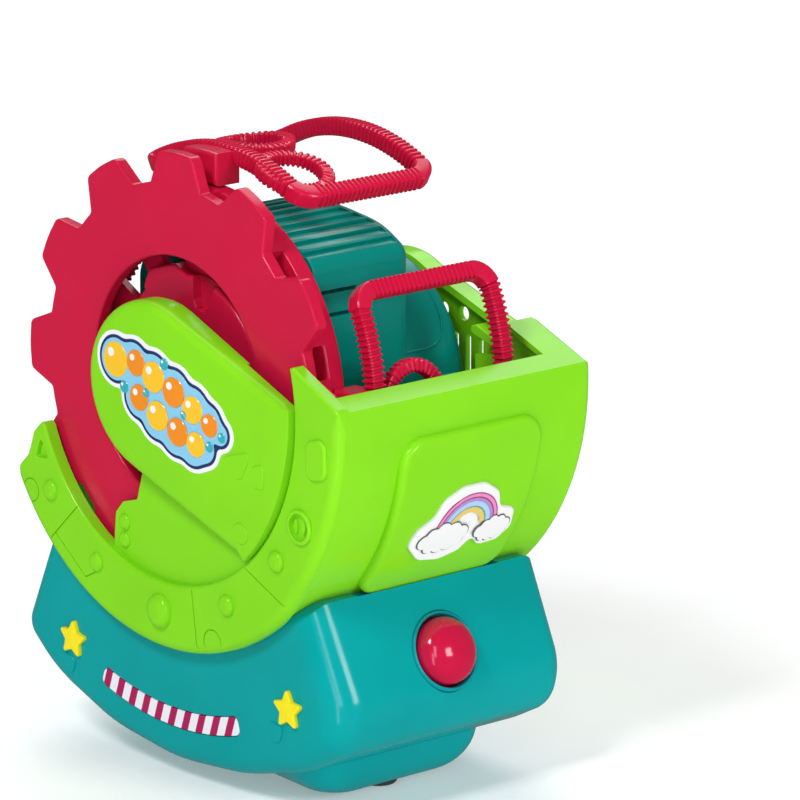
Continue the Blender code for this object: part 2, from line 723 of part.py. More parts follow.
def pad_patch(x0, x1, low, high, radius0, radius1, corner):
    """A rounded patch on the trough's curved front, stretched between x0 and x1."""
    reach = math.degrees(corner / radius0)
    steps = 4
    left = []
    for i in range(steps + 1):
        turn = math.pi / 2 * i / steps
        left.append((x0 + corner * (1 - math.sin(turn)), low + reach * (1 - math.cos(turn))))
    rows = 10
    straight = [(x0, low + reach + (high - low - 2 * reach) * k / rows) for k in range(1, rows)]
    upper = [(x, high + low - angle) for x, angle in reversed(left)]
    side = left + straight + upper
    mirror = [(x0 + x1 - x, angle) for x, angle in reversed(side)]
    return wrapped(side + mirror, radius0, radius1)


def cover_outline():
    crown = arc(30.0, 62.0, 118.0, 8, (2.0, 2.5))
    return COVER_CREST + crown + [(-60.0, 14.0), (-84.0, -20.0)] + arc(TROUGH_RADIUS, -162.0, 3.0, 34)


def vent_slot(number):
    """An upright slot of the air inlet; the middle slots are the longest."""
    forward = VENT_SLOT_FIRST + VENT_SLOT_PITCH * number
    length = 15.0 + 15.0 * (1 - (forward / 38.0) ** 2)
    half = VENT_SLOT_WIDTH / 2
    corners = [(forward - half, VENT_SLOT_TOP - length), (forward + half, VENT_SLOT_TOP - length),
               (forward + half, VENT_SLOT_TOP), (forward - half, VENT_SLOT_TOP)]
    return rounded(corners, half - 0.1, 2)


def build_right_cover(frame):
    outline = cover_outline()
    shell = soft_prism(outline, TROUGH_RIGHT + GAP, COVER_RIGHT, 0.0, COVER_EDGE)
    cover = make_object("right_cover", shell, "lime", frame)
    hollow = prism(inset(outline, TROUGH_WALL), TROUGH_RIGHT - 3.0, COVER_RIGHT - COVER_WALL)
    cut(cover, hollow, "hollow")
    vent_left = COVER_RIGHT - COVER_WALL - 2.0
    vent_right = COVER_RIGHT + 3.0
    for number, forward in enumerate(VENT_HOLES):
        hole = circle(VENT_HOLE_RADIUS, 12, (forward, VENT_HOLE_HEIGHT))
        cut(cover, prism(hole, vent_left, vent_right), f"hole_{number}")
    for number in range(VENT_SLOTS):
        cut(cover, prism(vent_slot(number), vent_left, vent_right), f"slot_{number}")
    tab = prism(rounded(COVER_TAB, 1.2, 2), TROUGH_RIGHT - 3.3, COVER_RIGHT - COVER_WALL - GAP)
    make_object("cover_stud", tab, "lime", frame)


# ------------------------------------------------------------------ blower

def drum_outline():
    return rounded([(47.5, -42.0), (45.5, 47.5), (16.0, 55.5), (-20.0, 52.0), (-43.0, 30.0), (-44.0, -42.0)],
                   [6.0, 9.0, 30.0, 30.0, 16.0, 6.0], 5)


def build_blower(frame, fan_axis):
    outline = drum_outline()
    centre = (0, FAN_Z)
    shell = soft_prism(outline, DRUM_LEFT, DRUM_RIGHT, 1.0, 4.0)
    drum = make_object("blower_drum", shell, "deep_teal", frame)
    hollow = prism(inset(outline, SHELL_WALL), DRUM_LEFT + SHELL_WALL, DRUM_RIGHT - SHELL_WALL)
    cut(drum, hollow, "hollow")
    cut(drum, prism(circle(FAN_OPENING, 24, centre), DRUM_RIGHT - 8.0, DRUM_RIGHT + 4.0), "fan_side")
    cut(drum, prism(circle(6.6, 20), DRUM_LEFT - 3.0, DRUM_LEFT + 6.0), "bush_hole")
    for number, (forward, up) in enumerate(SLATS):
        groove = box(DRUM_LEFT - 2, DRUM_RIGHT - 7, forward - SLAT_HALF_WIDTH, forward + SLAT_HALF_WIDTH,
                     up - SLAT_DEPTH, up + 3.0)
        cut(drum, groove, f"slat_{number}")

    rear_ring = ring_prism(circle(6.3, 24), circle(AXLE_RADIUS + GAP, 24), DRUM_LEFT + GAP, DRUM_LEFT + 6.0)
    make_object("rear_bush", rear_ring, "gear_white", frame)

    left = DRUM_RIGHT + GAP
    casing = soft_prism(circle(VOLUTE_RADIUS, 40, centre), left, VOLUTE_RIGHT, 1.0, 3.0)
    volute = make_object("blower_volute", casing, "deep_teal", frame)
    join(volute, prism(rounded(SPOUT, 3.0, 2), left, VOLUTE_RIGHT - 4.0), "spout")
    chamber = circle(VOLUTE_RADIUS - SHELL_WALL, 40, centre)
    cut(volute, prism(chamber, DRUM_RIGHT + 3.0, VOLUTE_RIGHT - SHELL_WALL), "hollow")
    cut(volute, box(DRUM_RIGHT + 3.0, VOLUTE_RIGHT - 6.5, 20.0, 70.0, -44.5, -12.0), "mouth")
    cut(volute, prism(circle(INLET_RADIUS, 28, centre), VOLUTE_RIGHT - 8.0, VOLUTE_RIGHT + 5.0), "inlet")
    cut(volute, prism(circle(5.0, 16, centre), DRUM_RIGHT - 3.0, DRUM_RIGHT + 8.0), "shaft_hole")

    motor_profile = [(34.0, 11.0), (35.0, 12.0), (60.0, 12.0), (61.0, 11.0), (61.0, 4.0), (63.0, 4.0)]
    make_object("blower_motor", turned(motor_profile, 24, centre), "steel", frame)
    clamp = ring_prism(circle(FAN_OPENING - 0.5, 24, centre), circle(12.3, 24, centre), 57.0, 60.0)
    make_object("motor_clamp", clamp, "black", frame)

    blades = []
    for i in range(BLADES):
        middle = 360.0 * i / BLADES
        tip = IMPELLER_RADIUS - 2.0
        blades += [polar(9.0, middle - 12, centre), polar(9.0, middle - 5, centre),
                   polar(tip, middle - 1.3, centre), polar(tip, middle + 1.3, centre),
                   polar(9.0, middle + 5, centre)]
    impeller = make_object("blower_impeller", prism(blades, *IMPELLER_SPAN), "white", fan_axis)
    disc = prism(circle(IMPELLER_RADIUS, 40, centre), IMPELLER_SPAN[0] - 1.4, IMPELLER_SPAN[0] + 0.4)
    join(impeller, disc, "disc")
    cut(impeller, prism(circle(1.5, 12, centre), 60.0, 95.0), "bore")
    shaft = prism(circle(FAN_SHAFT_RADIUS, 12, centre), 63.4, IMPELLER_SPAN[1])
    make_object("blower_shaft", shaft, "steel", fan_axis)


# ------------------------------------------------------------------ base

def base_outline():
    corners = [(69.5, -64.0), (85.4, -100.0), (81.5, -114.5), (62.0, -124.6), (30.0, -132.6), (-4.0, -135.0),
               (-38.0, -130.0), (-70.0, -117.6), (-86.6, -103.0), (-69.5, -64.0)]
    radii = [0.0, 14.0, 12.0, 60.0, 90.0, 90.0, 80.0, 60.0, 9.0, 0.0]
    return rounded(corners, radii, 3)


def slope_matrix(front):
    """Places a piece, drawn along +X from the origin, square to the base's front or back slope."""
    quarter = math.radians(-90 if front else 90)
    return Matrix.Rotation(quarter, 4, "Z") @ Matrix.Rotation(-FLARE, 4, "Y")


def on_front(mesh_data):
    """Turns a shape whose axis is +X so that it points out of the base's front, at the button."""
    centre = Vector((BASE_MIDDLE, -BUTTON_CENTRE[0], BUTTON_CENTRE[1]))
    return moved(mesh_data, Matrix.Translation(centre) @ slope_matrix(True))


def build_base(frame):
    outline = base_outline()
    body = soft_prism(outline, BASE_LEFT, BASE_RIGHT, BASE_EDGE, BASE_EDGE, 4)
    shell = make_object("base_shell", body, "teal", frame)
    cavity = inset(outline, BASE_WALL)
    cut(shell, soft_prism(cavity, BASE_LEFT + BASE_WALL, BASE_RIGHT - BASE_WALL, 4.5, 4.5, 2), "hollow")
    cut(shell, prism(circle(CRADLE_RADIUS, 72), BASE_LEFT - 15.0, BASE_RIGHT + 15.0), "cradle")
    notch = [(20.4, 88.0), (84.6, 88.0), (84.6, 94.7), (20.4, 94.7)]
    cut(shell, lathe(notch, 6, -45.3, -30.0), "pad_notch")
    cut(shell, on_front(turned([(-12.0, BEZEL_RADIUS + 0.4), (12.0, BEZEL_RADIUS + 0.4)], 28)), "button_hole")
    opening = inset(pedestal_top_outline(), PEDESTAL_LEDGE)
    cut(shell, upright([(-138.0, opening), (-112.0, opening)]), "floor_opening")
    cut(shell, door_block(GAP, -6.0, 6.0), "door_opening")


def upright(sections):
    """Skins (height, [(x, forward), ...]) outlines into a closed solid standing along +Z."""
    count = len(sections[0][1])
    points = [(x, -forward, height) for height, outline in sections for x, forward in outline]
    faces = [list(range(count))]
    for level in range(len(sections) - 1):
        base = level * count
        for i in range(count):
            j = (i + 1) % count
            faces.append([base + i, base + j, base + count + j, base + count + i])
    faces.append(list(range(len(points) - count, len(points))))
    return points, faces


def door_block(margin, inner, outer):
    """A slab on the base's back slope, between two depths along the slope's outward normal."""
    normal = Vector((-math.cos(FLARE), math.sin(FLARE)))
    along = Vector((math.sin(FLARE), math.cos(FLARE)))
    low = Vector(DOOR_LOW)
    ends = (low - along * margin, low + along * (DOOR_LENGTH + margin))
    outline = [tuple(ends[0] + normal * outer), tuple(ends[1] + normal * outer),
               tuple(ends[1] + normal * inner), tuple(ends[0] + normal * inner)]
    return prism(outline, DOOR_SPAN[0] - margin, DOOR_SPAN[1] + margin)


def holder_outline():
    return [(-76.0, -100.5), (-73.0, -103.4), (-46.0, -106.6), (-46.0, -90.4), (-57.0, -90.0),
            (-57.0, -76.2), (-61.0, -72.4), (-80.0, -72.4)]


def build_power(frame, door_axis):
    outline = holder_outline()
    bay_left = HOLDER_SPAN[0] + HOLDER_WALL
    bay_right = HOLDER_SPAN[1] - HOLDER_WALL
    holder = make_object("battery_holder", prism(inset(outline, -HOLDER_WALL), *HOLDER_SPAN), "black", frame)
    cut(holder, prism(outline, bay_left, bay_right), "bay")
    cut(holder, door_block(30.0, -5.0, 30.0), "mouth")
    left = bay_left + GAP
    right = bay_right - GAP
    strip = [(-72.5, -101.0), (-49.0, -103.6), (-49.0, -93.0),
             (-60.5, -91.0), (-60.5, -76.0), (-66.5, -76.0)]
    make_object("contact_strip_left", prism(strip, left, left + 0.5), "steel", frame)
    make_object("contact_strip_right", prism(strip, right - 0.5, right), "steel", frame)
    cap_radius, cap_height = CELL_CAP
    start = left + 0.5 + 0.8
    end = start + CELL_LENGTH
    for number, centre in enumerate(CELL_PLACES):
        if number % 2:
            profile = [(start, CELL_RADIUS), (end - cap_height, CELL_RADIUS),
                       (end - cap_height, cap_radius), (end, cap_radius)]
        else:
            profile = [(start, cap_radius), (start + cap_height, cap_radius),
                       (start + cap_height, CELL_RADIUS), (end, CELL_RADIUS)]
        make_object(f"battery_cell_{number + 1}", turned(profile, 20, centre), "black", frame)

    door = make_object("battery_door", door_block(0.0, -DOOR_THICKNESS, 0.0), "teal", door_axis)
    middle = (DOOR_SPAN[0] + DOOR_SPAN[1]) / 2
    screw_hole = on_door(turned([(-6.0, 2.0), (6.0, 2.0)], 14), middle, DOOR_LENGTH - 4.0)
    cut(door, screw_hole, "screw_hole")
    head = [(-4.2, 1.6), (-0.9, 1.6)]
    make_object("door_screw", on_door(turned(head, 14), middle, DOOR_LENGTH - 4.0), "steel", door_axis)


def on_door(mesh_data, x, height):
    """Places a shape drawn along +X at a height up the battery door, pointing out of it."""
    spot = Vector((x, -DOOR_LOW[0] - math.sin(FLARE) * height, DOOR_LOW[1] + math.cos(FLARE) * height))
    return moved(mesh_data, Matrix.Translation(spot) @ slope_matrix(False))


def build_button(frame, button_axis):
    rim = BEZEL_RADIUS - 0.8
    dome = [(-9.0, rim), (-7.4, rim), (-7.4, BUTTON_RADIUS), (1.0, BUTTON_RADIUS)]
    for i in range(1, 5):
        turn = math.pi / 2 * i / 5
        dome.append((1.0 + BUTTON_DOME * math.sin(turn), BUTTON_RADIUS * math.cos(turn)))
    button = make_object("push_button", on_front(turned(dome, 36)), "raspberry", button_axis)
    join(button, on_front(turned([(-12.0, 2.2), (-8.5, 2.2)], 12)), "stem")
    bore = BUTTON_RADIUS + 0.5
    ring = [(-5.4, bore), (-5.4, BEZEL_RADIUS), (0.4, BEZEL_RADIUS), (1.4, BEZEL_RADIUS - 0.6), (1.4, bore + 0.5),
            (0.6, bore)]
    make_object("button_bezel", on_front(lathe(ring, 36)), "teal", frame)
    make_object("switch_board", on_front(box(-22.0, -20.4, -15.0, 15.0, -13.0, 13.0)), "board_green", frame)
    switch = make_object("push_switch", on_front(box(-20.1, -16.4, -3.4, 3.4, -3.4, 3.4)), "black", frame)
    join(switch, on_front(turned([(-17.0, 1.6), (-15.4, 1.6)], 12)), "plunger")


def star_outline(centre, radius, turn):
    return [polar(radius if i % 2 == 0 else radius * 0.45, turn + 36 * i, centre) for i in range(10)]


def build_base_trim(frame):
    face = BASE_LEFT - GAP
    band = rounded_band(INSERT_RADIUS, INSERT_HALF_WIDTH, *INSERT_ANGLES)
    make_object("striped_insert", prism(band, face - 0.5, face), "white", frame)
    for name, centre, turn in STARS:
        puffed = soft_prism(star_outline(centre, STAR_RADIUS, turn), face - STAR_THICKNESS, face)
        make_object(name, puffed, "yellow", frame)


def rounded_band(radius, half, start, end):
    """A curved pill about the wheel's axis."""
    steps = 16
    outer = arc(radius + half, start, end, steps)
    inner = arc(radius - half, end, start, steps)
    cap_end = [polar(half, end + 45 * k, polar(radius, end)) for k in range(1, 4)]
    cap_start = [polar(half, start + 180 + 45 * k, polar(radius, start)) for k in range(1, 4)]
    return outer + cap_end + inner + cap_start


def pedestal_top_outline():
    return rounded(PEDESTAL_TOP, 12.0)


def build_pedestal(frame):
    low = rounded(PEDESTAL_FOOT, 8.0)
    high = pedestal_top_outline()
    sections = []
    steps = 4
    for i in range(steps + 1):
        turn = math.pi / 2 * i / steps
        mix = math.sin(turn)
        outline = [(a[0] + (b[0] - a[0]) * mix, a[1] + (b[1] - a[1]) * mix) for a, b in zip(low, high)]
        sections.append((PEDESTAL_BOTTOM + PEDESTAL_RISE * (1 - math.cos(turn)), outline))
    sections.append((-110.0, high))
    pedestal = make_object("pedestal", upright(sections), "teal", frame)
    cut(pedestal, prism(inset(base_outline(), -GAP), -20.0, 130.0), "belly")
    plug = inset(high, PEDESTAL_LEDGE + GAP)
    join(pedestal, upright([(-137.0, plug), (-112.0, plug)]), "plug")
    well = inset(high, PEDESTAL_LEDGE + 3.0)
    well_floor = [(a[0] + (b[0] - a[0]) * 0.6, a[1] + (b[1] - a[1]) * 0.6) for a, b in zip(low, well)]
    cut(pedestal, upright([(-133.0, well_floor), (-122.0, well), (-100.0, well)]), "well")
    for name, (x, forward) in FOOT_PLACES.items():
        pad = circle(FOOT_RADIUS, 20, (x, forward))
        make_object(name, upright([(FLOOR_LEVEL, inset(pad, 0.6)), (FLOOR_LEVEL + 0.6, pad),
                                   (FLOOR_LEVEL + FOOT_HEIGHT, pad)]), "rubber", frame)


def build_all():
    clear_scene()
    frame = add_empty("axle_frame", (AXLE_X, AXLE_Y, AXLE_HEIGHT))
    axis = add_empty("wheel_axis", (0, 0, 0), frame)
    fan_axis = add_empty("fan_axis", (0, 0, FAN_Z), frame)
    reduction_axis = add_empty("reduction_axis", (0, -GEAR_A[0], GEAR_A[1]), frame)
    pinion_axis = add_empty("pinion_axis", (0, -MOTOR_CENTRE[0], MOTOR_CENTRE[1]), frame)
    button_axis = add_empty("button_axis", on_front(([(0, 0, 0)], []))[0][0], frame)
    door_axis = add_empty("door_axis", (0, -DOOR_LOW[0], DOOR_LOW[1]), frame)
    build_wheel(axis)
    build_wands(axis)
    build_drive(frame, reduction_axis, pinion_axis)
    build_arm(frame)
    build_trough(frame)
    build_right_cover(frame)
    build_blower(frame, fan_axis)
    build_base(frame)
    build_pedestal(frame)
    build_button(frame, button_axis)
    build_power(frame, door_axis)
    build_base_trim(frame)


build_all()
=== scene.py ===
"""The bubble machine's looks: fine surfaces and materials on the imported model, a camera and a studio.

Every piece is drawn in millimetres in the wheel's frame, where X runs along the wheel's axle from
the face of its toothed plate, -Y is the front and +Z is up, and becomes metres as it is made.
A side outline lists (forward, up) pairs, forward being -Y.
"""
import json
import math

import bmesh
import bpy
from mathutils import Matrix, Vector


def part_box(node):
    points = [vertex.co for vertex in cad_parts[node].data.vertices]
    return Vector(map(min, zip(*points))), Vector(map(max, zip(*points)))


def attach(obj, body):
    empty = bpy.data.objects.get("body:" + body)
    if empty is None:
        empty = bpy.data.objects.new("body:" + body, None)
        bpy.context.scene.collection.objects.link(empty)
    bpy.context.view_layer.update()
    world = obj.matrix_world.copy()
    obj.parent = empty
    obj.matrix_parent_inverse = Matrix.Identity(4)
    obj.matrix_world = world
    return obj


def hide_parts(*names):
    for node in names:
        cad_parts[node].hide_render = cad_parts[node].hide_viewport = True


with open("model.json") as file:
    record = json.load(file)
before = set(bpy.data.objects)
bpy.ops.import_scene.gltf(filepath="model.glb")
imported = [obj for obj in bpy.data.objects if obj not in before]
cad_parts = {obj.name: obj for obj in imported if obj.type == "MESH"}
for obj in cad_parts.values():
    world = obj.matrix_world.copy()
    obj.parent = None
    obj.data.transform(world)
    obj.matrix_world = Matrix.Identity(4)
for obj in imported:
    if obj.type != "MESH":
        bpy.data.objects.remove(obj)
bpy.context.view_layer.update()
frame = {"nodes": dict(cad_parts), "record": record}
MM = 0.001

axle_low, axle_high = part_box("wheel_axle")
AXLE_OVERHANG = 9.9
AXLE = (axle_low + axle_high) / 2 / MM
AXLE.x = axle_low.x / MM + AXLE_OVERHANG


# ---- outlines in (forward, up)

def polar(radius, degrees, centre=(0.0, 0.0)):
    angle = math.radians(degrees)
    return (centre[0] + radius * math.cos(angle), centre[1] + radius * math.sin(angle))


def arc(radius, start, end, steps, centre=(0.0, 0.0)):
    return [polar(radius, start + (end - start) * i / steps, centre) for i in range(steps + 1)]


def quarter(steps):
    """Angles over a quarter turn, for rounding an edge."""
    return [math.pi / 2 * i / steps for i in range(steps + 1)]


def circle(radius, count, centre=(0.0, 0.0)):
    return [polar(radius, 360.0 * i / count, centre) for i in range(count)]


def rounded(corners, radius, steps=6):
    """A closed outline whose corners are rounded; radius may be one value or one per corner."""
    radii = radius if isinstance(radius, (list, tuple)) else [radius] * len(corners)
    outline = []
    for index, corner in enumerate(corners):
        here = Vector(corner)
        before = Vector(corners[index - 1]) - here
        after = Vector(corners[(index + 1) % len(corners)]) - here
        half = before.angle(after) / 2
        reach = min(radii[index] / math.tan(half), before.length * 0.49, after.length * 0.49)
        size = reach * math.tan(half)
        if size < 0.01 or half > math.radians(89.5):
            outline.append(tuple(here))
            continue
        start = here + before.normalized() * reach
        middle = here + (before.normalized() + after.normalized()).normalized() * (size / math.sin(half))
        sweep = math.pi - 2 * half
        arm = start - middle
        side = 1.0 if before.cross(after) < 0 else -1.0
        for i in range(steps + 1):
            turn = side * sweep * i / steps
            outline.append((middle.x + arm.x * math.cos(turn) - arm.y * math.sin(turn),
                            middle.y + arm.x * math.sin(turn) + arm.y * math.cos(turn)))
    return outline


def signed_area(outline):
    count = len(outline)
    return sum(outline[i][0] * outline[(i + 1) % count][1] - outline[(i + 1) % count][0] * outline[i][1]
               for i in range(count)) / 2


def inset(outline, distance):
    """Moves a closed outline inwards by a distance, or by one distance per point."""
    count = len(outline)
    distances = distance if isinstance(distance, list) else [distance] * count
    side = 1.0 if signed_area(outline) > 0 else -1.0
    moved = []
    for i in range(count):
        before = (Vector(outline[i]) - Vector(outline[i - 1])).normalized()
        after = (Vector(outline[(i + 1) % count]) - Vector(outline[i])).normalized()
        normal_a = Vector((-before.y, before.x)) * side
        normal_b = Vector((-after.y, after.x)) * side
        bisector = (normal_a + normal_b).normalized()
        shift = distances[i] / max(bisector.dot(normal_a), 0.35)
        moved.append(tuple(Vector(outline[i]) + bisector * shift))
    return moved


def spaced(outline, step):
    """Adds points along an outline's long edges."""
    result = []
    count = len(outline)
    for i in range(count):
        a = Vector(outline[i])
        b = Vector(outline[(i + 1) % count])
        parts = max(1, int((b - a).length / step))
        result += [tuple(a.lerp(b, k / parts)) for k in range(parts)]
    return result


# ---- meshes

def lay(x, pair):
    return Vector((x, -pair[0], pair[1]))


def loop_at(x, outline):
    """A loop of points; x is one value, or one per point."""
    if isinstance(x, list):
        return [lay(x[i], p) for i, p in enumerate(outline)]
    return [lay(x, p) for p in outline]


class Shape:
    """A mesh being drawn, from walls of matching loops and the caps that close them."""

    def __init__(self):
        self.mesh = bmesh.new()

    def join(self, lower, upper):
        for i in range(len(lower)):
            j = (i + 1) % len(lower)
            self.mesh.faces.new((lower[i], lower[j], upper[j], upper[i]))

    def loops(self, rows):
        made = [[self.mesh.verts.new(p) for p in row] for row in rows]
        for lower, upper in zip(made, made[1:]):
            self.join(lower, upper)
        return made

    def cap(self, *rings):
        """Fills a flat face between an outer ring and any holes."""
        if len(rings) == 1:
            self.mesh.faces.new(rings[0])
            return
        edges = []
        for ring in rings:
            for i, vertex in enumerate(ring):
                edges.append(self.mesh.edges.get((vertex, ring[(i + 1) % len(ring)])))
        bmesh.ops.triangle_fill(self.mesh, edges=edges, use_beauty=True)

    def solid(self, rows):
        made = self.loops(rows)
        self.cap(made[0])
        self.cap(made[-1])
        return self

    def shrink(self, ring, place, steps):
        """Fills a ring with smaller and smaller rings; place gives the points at a fraction of its size."""
        for k in range(1, steps):
            smaller = [self.mesh.verts.new(p) for p in place(1.0 - k / steps)]
            self.join(ring, smaller)
            ring = smaller
        middle = self.mesh.verts.new(place(0.0)[0])
        for i in range(len(ring)):
            self.mesh.faces.new((ring[i], ring[(i + 1) % len(ring)], middle))

    def add(self, other):
        copies = {vertex: self.mesh.verts.new(vertex.co) for vertex in other.mesh.verts}
        for face in other.mesh.faces:
            self.mesh.faces.new([copies[v] for v in face.verts])
        other.mesh.free()
        return self

    def transform(self, matrix):
        bmesh.ops.transform(self.mesh, matrix=matrix, verts=self.mesh.verts)
        return self

    def finish(self, name, sharp=38):
        for vertex in self.mesh.verts:
            vertex.co = (vertex.co + AXLE) * MM
        bmesh.ops.remove_doubles(self.mesh, verts=self.mesh.verts, dist=2e-6)
        bmesh.ops.recalc_face_normals(self.mesh, faces=self.mesh.faces)
        data = bpy.data.meshes.new(name)
        self.mesh.to_mesh(data)
        self.mesh.free()
        data.shade_smooth()
        data.set_sharp_from_angle(angle=math.radians(sharp))
        thing = bpy.data.objects.new(name, data)
        bpy.context.scene.collection.objects.link(thing)
        return thing


def edge_rows(outline, x0, x1, radius0, radius1, steps=4, distance=1.0):
    """Loops for a plate between x0 and x1 with rounded end edges; distance -1 is for a hole.

    A radius is one value, or one per point of the outline.
    """
    rows = []
    for x, side, radius in ((x0, 1.0, radius0), (x1, -1.0, radius1)):
        widths = radius if isinstance(radius, list) else [radius] * len(outline)
        end = []
        for angle in quarter(steps) if max(widths) > 0 else [0.0]:
            level = [x + side * w * (1 - math.sin(angle)) for w in widths]
            end.append(loop_at(level, inset(outline, [distance * w * (1 - math.cos(angle)) for w in widths])))
        rows += end[::-1] if side > 0 else end
    return rows


def plate(outline, x0, x1, radius0=0.8, radius1=0.8, holes=(), hole_radius=0.6, steps=4):
    """A flat plate with rounded edges and any number of holes right through."""
    shape = Shape()
    walls = [shape.loops(edge_rows(outline, x0, x1, radius0, radius1, steps))]
    walls += [shape.loops(edge_rows(hole, x0, x1, hole_radius, hole_radius, steps, -1.0)) for hole in holes]
    shape.cap(*[wall[0] for wall in walls])
    shape.cap(*[wall[-1] for wall in walls])
    return shape


def prism(outline, x0, x1):
    return Shape().solid([loop_at(x0, outline), loop_at(x1, outline)])


def turned(profile, segments, centre=(0.0, 0.0), start=0.0, end=360.0):
    """Turns a closed (x, radius) profile about an axis along X, all round or over an arc."""
    whole = abs(end - start) >= 360.0
    rows = []
    for k in range(segments if whole else segments + 1):
        angle = start + (end - start) * k / segments
        rows.append([lay(x, polar(r, angle, centre)) for x, r in profile])
    shape = Shape()
    if whole:
        rows.append(rows[0])
    made = shape.loops(rows)
    if not whole:
        shape.cap(made[0])
        shape.cap(made[-1])
    return shape


def dome(centre, radius, height, x, count=32, steps=7):
    """A dome that stands out of a face towards -X."""
    rows = [loop_at(x + 0.6, circle(radius, count, centre))]
    for angle in quarter(steps)[:-1]:
        ring = circle(radius * math.cos(angle) ** 0.7, count, centre)
        rows.append(loop_at(x - height * math.sin(angle), ring))
    return Shape().solid(rows)


def swept(path, section, closed, radial=False):
    """Sweeps a section, a function of the index that gives (a, b) offsets, along a path of points."""
    count = len(path)
    rows = []
    guide = None
    for i in range(count):
        before = path[i - 1] if closed or i > 0 else path[i]
        after = path[(i + 1) % count] if closed or i < count - 1 else path[i]
        direction = (after - before).normalized()
        if guide is None:
            guide = direction.orthogonal().normalized()
        outward = Vector((0.0, path[i].y, path[i].z))
        if radial:
            guide = outward.normalized()
        guide = (guide - direction * guide.dot(direction)).normalized()
        other = direction.cross(guide)
        rows.append([path[i] + guide * a + other * b for a, b in section(i)])
    shape = Shape()
    if closed:
        made = shape.loops(rows)
        last = made[-1]
        first = made[0]
        sides = len(first)
        shift = min(range(sides), key=lambda s: (first[s].co - last[0].co).length)
        for k in range(sides):
            j = (k + 1) % sides
            shape.mesh.faces.new((last[k], last[j], first[(j + shift) % sides], first[(k + shift) % sides]))
    else:
        shape.solid(rows)
    return shape


def resample(path, step, closed=True):
    """Points at even steps along a path."""
    points = [Vector(p) for p in path]
    if closed:
        points.append(points[0].copy())
    lengths = [0.0]
    for a, b in zip(points, points[1:]):
        lengths.append(lengths[-1] + (b - a).length)
    count = int(lengths[-1] / step / 4) * 4
    result = []
    segment = 0
    for i in range(count if closed else count + 1):
        target = lengths[-1] * i / count
        while lengths[segment + 1] < target and segment < len(lengths) - 2:
            segment += 1
        span = lengths[segment + 1] - lengths[segment]
        part = (target - lengths[segment]) / max(span, 1e-9)
        result.append(points[segment].lerp(points[segment + 1], part))
    return result


def squircle(half, sides, power):
    """A rounded square section."""
    result = []
    for i in range(sides):
        angle = 2 * math.pi * (i + 0.5) / sides
        c, s = math.cos(angle), math.sin(angle)
        result.append((half * math.copysign(abs(c) ** power, c), half * math.copysign(abs(s) ** power, s)))
    return result


# ---- materials

def put(node, values):
    for name, value in values.items():
        node.inputs[name].default_value = value


def maths(tree, operation, *values):
    node = tree.nodes.new("ShaderNodeMath")
    node.operation = operation
    for socket, value in zip(node.inputs, values):
        if isinstance(value, bpy.types.NodeSocket):
            tree.links.new(value, socket)
        else:
            socket.default_value = value
    return node.outputs["Value"]


def noise(tree, place, scale, detail):
    node = tree.nodes.new("ShaderNodeTexNoise")
    put(node, {"Scale": scale, "Detail": detail})
    tree.links.new(place, node.inputs["Vector"])
    return node.outputs["Fac"]


def plastic(name, rgb, roughness, spread=0.05, grain=900.0, bump=0.03, coat=0.0, glow=0.0, metallic=0.0):
    """Moulded plastic: slow changes of colour, flow marks in the gloss and a fine moulded grain."""
    material = bpy.data.materials.new(name)
    material.use_nodes = True
    tree = material.node_tree
    shader = tree.nodes["Principled BSDF"]
    place = tree.nodes.new("ShaderNodeTexCoord").outputs["Object"]
    tint = tree.nodes.new("ShaderNodeValToRGB")
    for element, at, change in zip(tint.color_ramp.elements, (0.3, 0.7), (1.0 - spread, 1.0 + spread)):
        element.position = at
        element.color = (*(min(1.0, max(0.0, c * change)) for c in rgb), 1.0)
    tree.links.new(noise(tree, place, 22.0, 3.0), tint.inputs["Fac"])
    tree.links.new(tint.outputs["Color"], shader.inputs["Base Color"])
    gloss = tree.nodes.new("ShaderNodeMapRange")
    put(gloss, {"From Min": 0.3, "From Max": 0.7, "To Min": roughness * 0.82, "To Max": roughness * 1.2})
    tree.links.new(noise(tree, place, 60.0, 5.0), gloss.inputs["Value"])
    tree.links.new(gloss.outputs["Result"], shader.inputs["Roughness"])
    relief = tree.nodes.new("ShaderNodeBump")
    put(relief, {"Strength": bump, "Distance": 0.0004})
    tree.links.new(noise(tree, place, grain, 2.0), relief.inputs["Height"])
    tree.links.new(relief.outputs["Normal"], shader.inputs["Normal"])
    put(shader, {"Metallic": metallic, "Specular IOR Level": 0.5 if metallic else 0.24,
                 "Coat Weight": coat, "Coat Roughness": 0.12, "Subsurface Weight": glow,
                 "Subsurface Radius": (0.004, 0.004, 0.004), "Subsurface Scale": 0.25})
    return material


def stripes():
    """Magenta and white bands across the insert, leaning like a barber's pole."""
    material = plastic("insert_stripes", (0.86, 0.82, 0.88), 0.22, spread=0.01)
    tree = material.node_tree
    place = tree.nodes.new("ShaderNodeTexCoord")
    split = tree.nodes.new("ShaderNodeSeparateXYZ")
    tree.links.new(place.outputs["Object"], split.inputs["Vector"])
    lean = maths(tree, "MULTIPLY_ADD", split.outputs["Z"], BAND_LEAN, split.outputs["Y"])
    wave = maths(tree, "MULTIPLY_ADD", lean, math.tau / BAND_PITCH, BAND_PHASE)
    level = maths(tree, "MULTIPLY_ADD", maths(tree, "SINE", wave), 0.5, 0.5)
    ramp = tree.nodes.new("ShaderNodeValToRGB")
    ramp.color_ramp.interpolation = "CONSTANT"
    ramp.color_ramp.elements[0].color = (0.86, 0.84, 0.92, 1.0)
    ramp.color_ramp.elements[1].position = 0.53
    ramp.color_ramp.elements[1].color = (0.42, 0.012, 0.10, 1.0)
    tree.links.new(level, ramp.inputs["Fac"])
    tree.links.new(ramp.outputs["Color"], tree.nodes["Principled BSDF"].inputs["Base Color"])
    return material


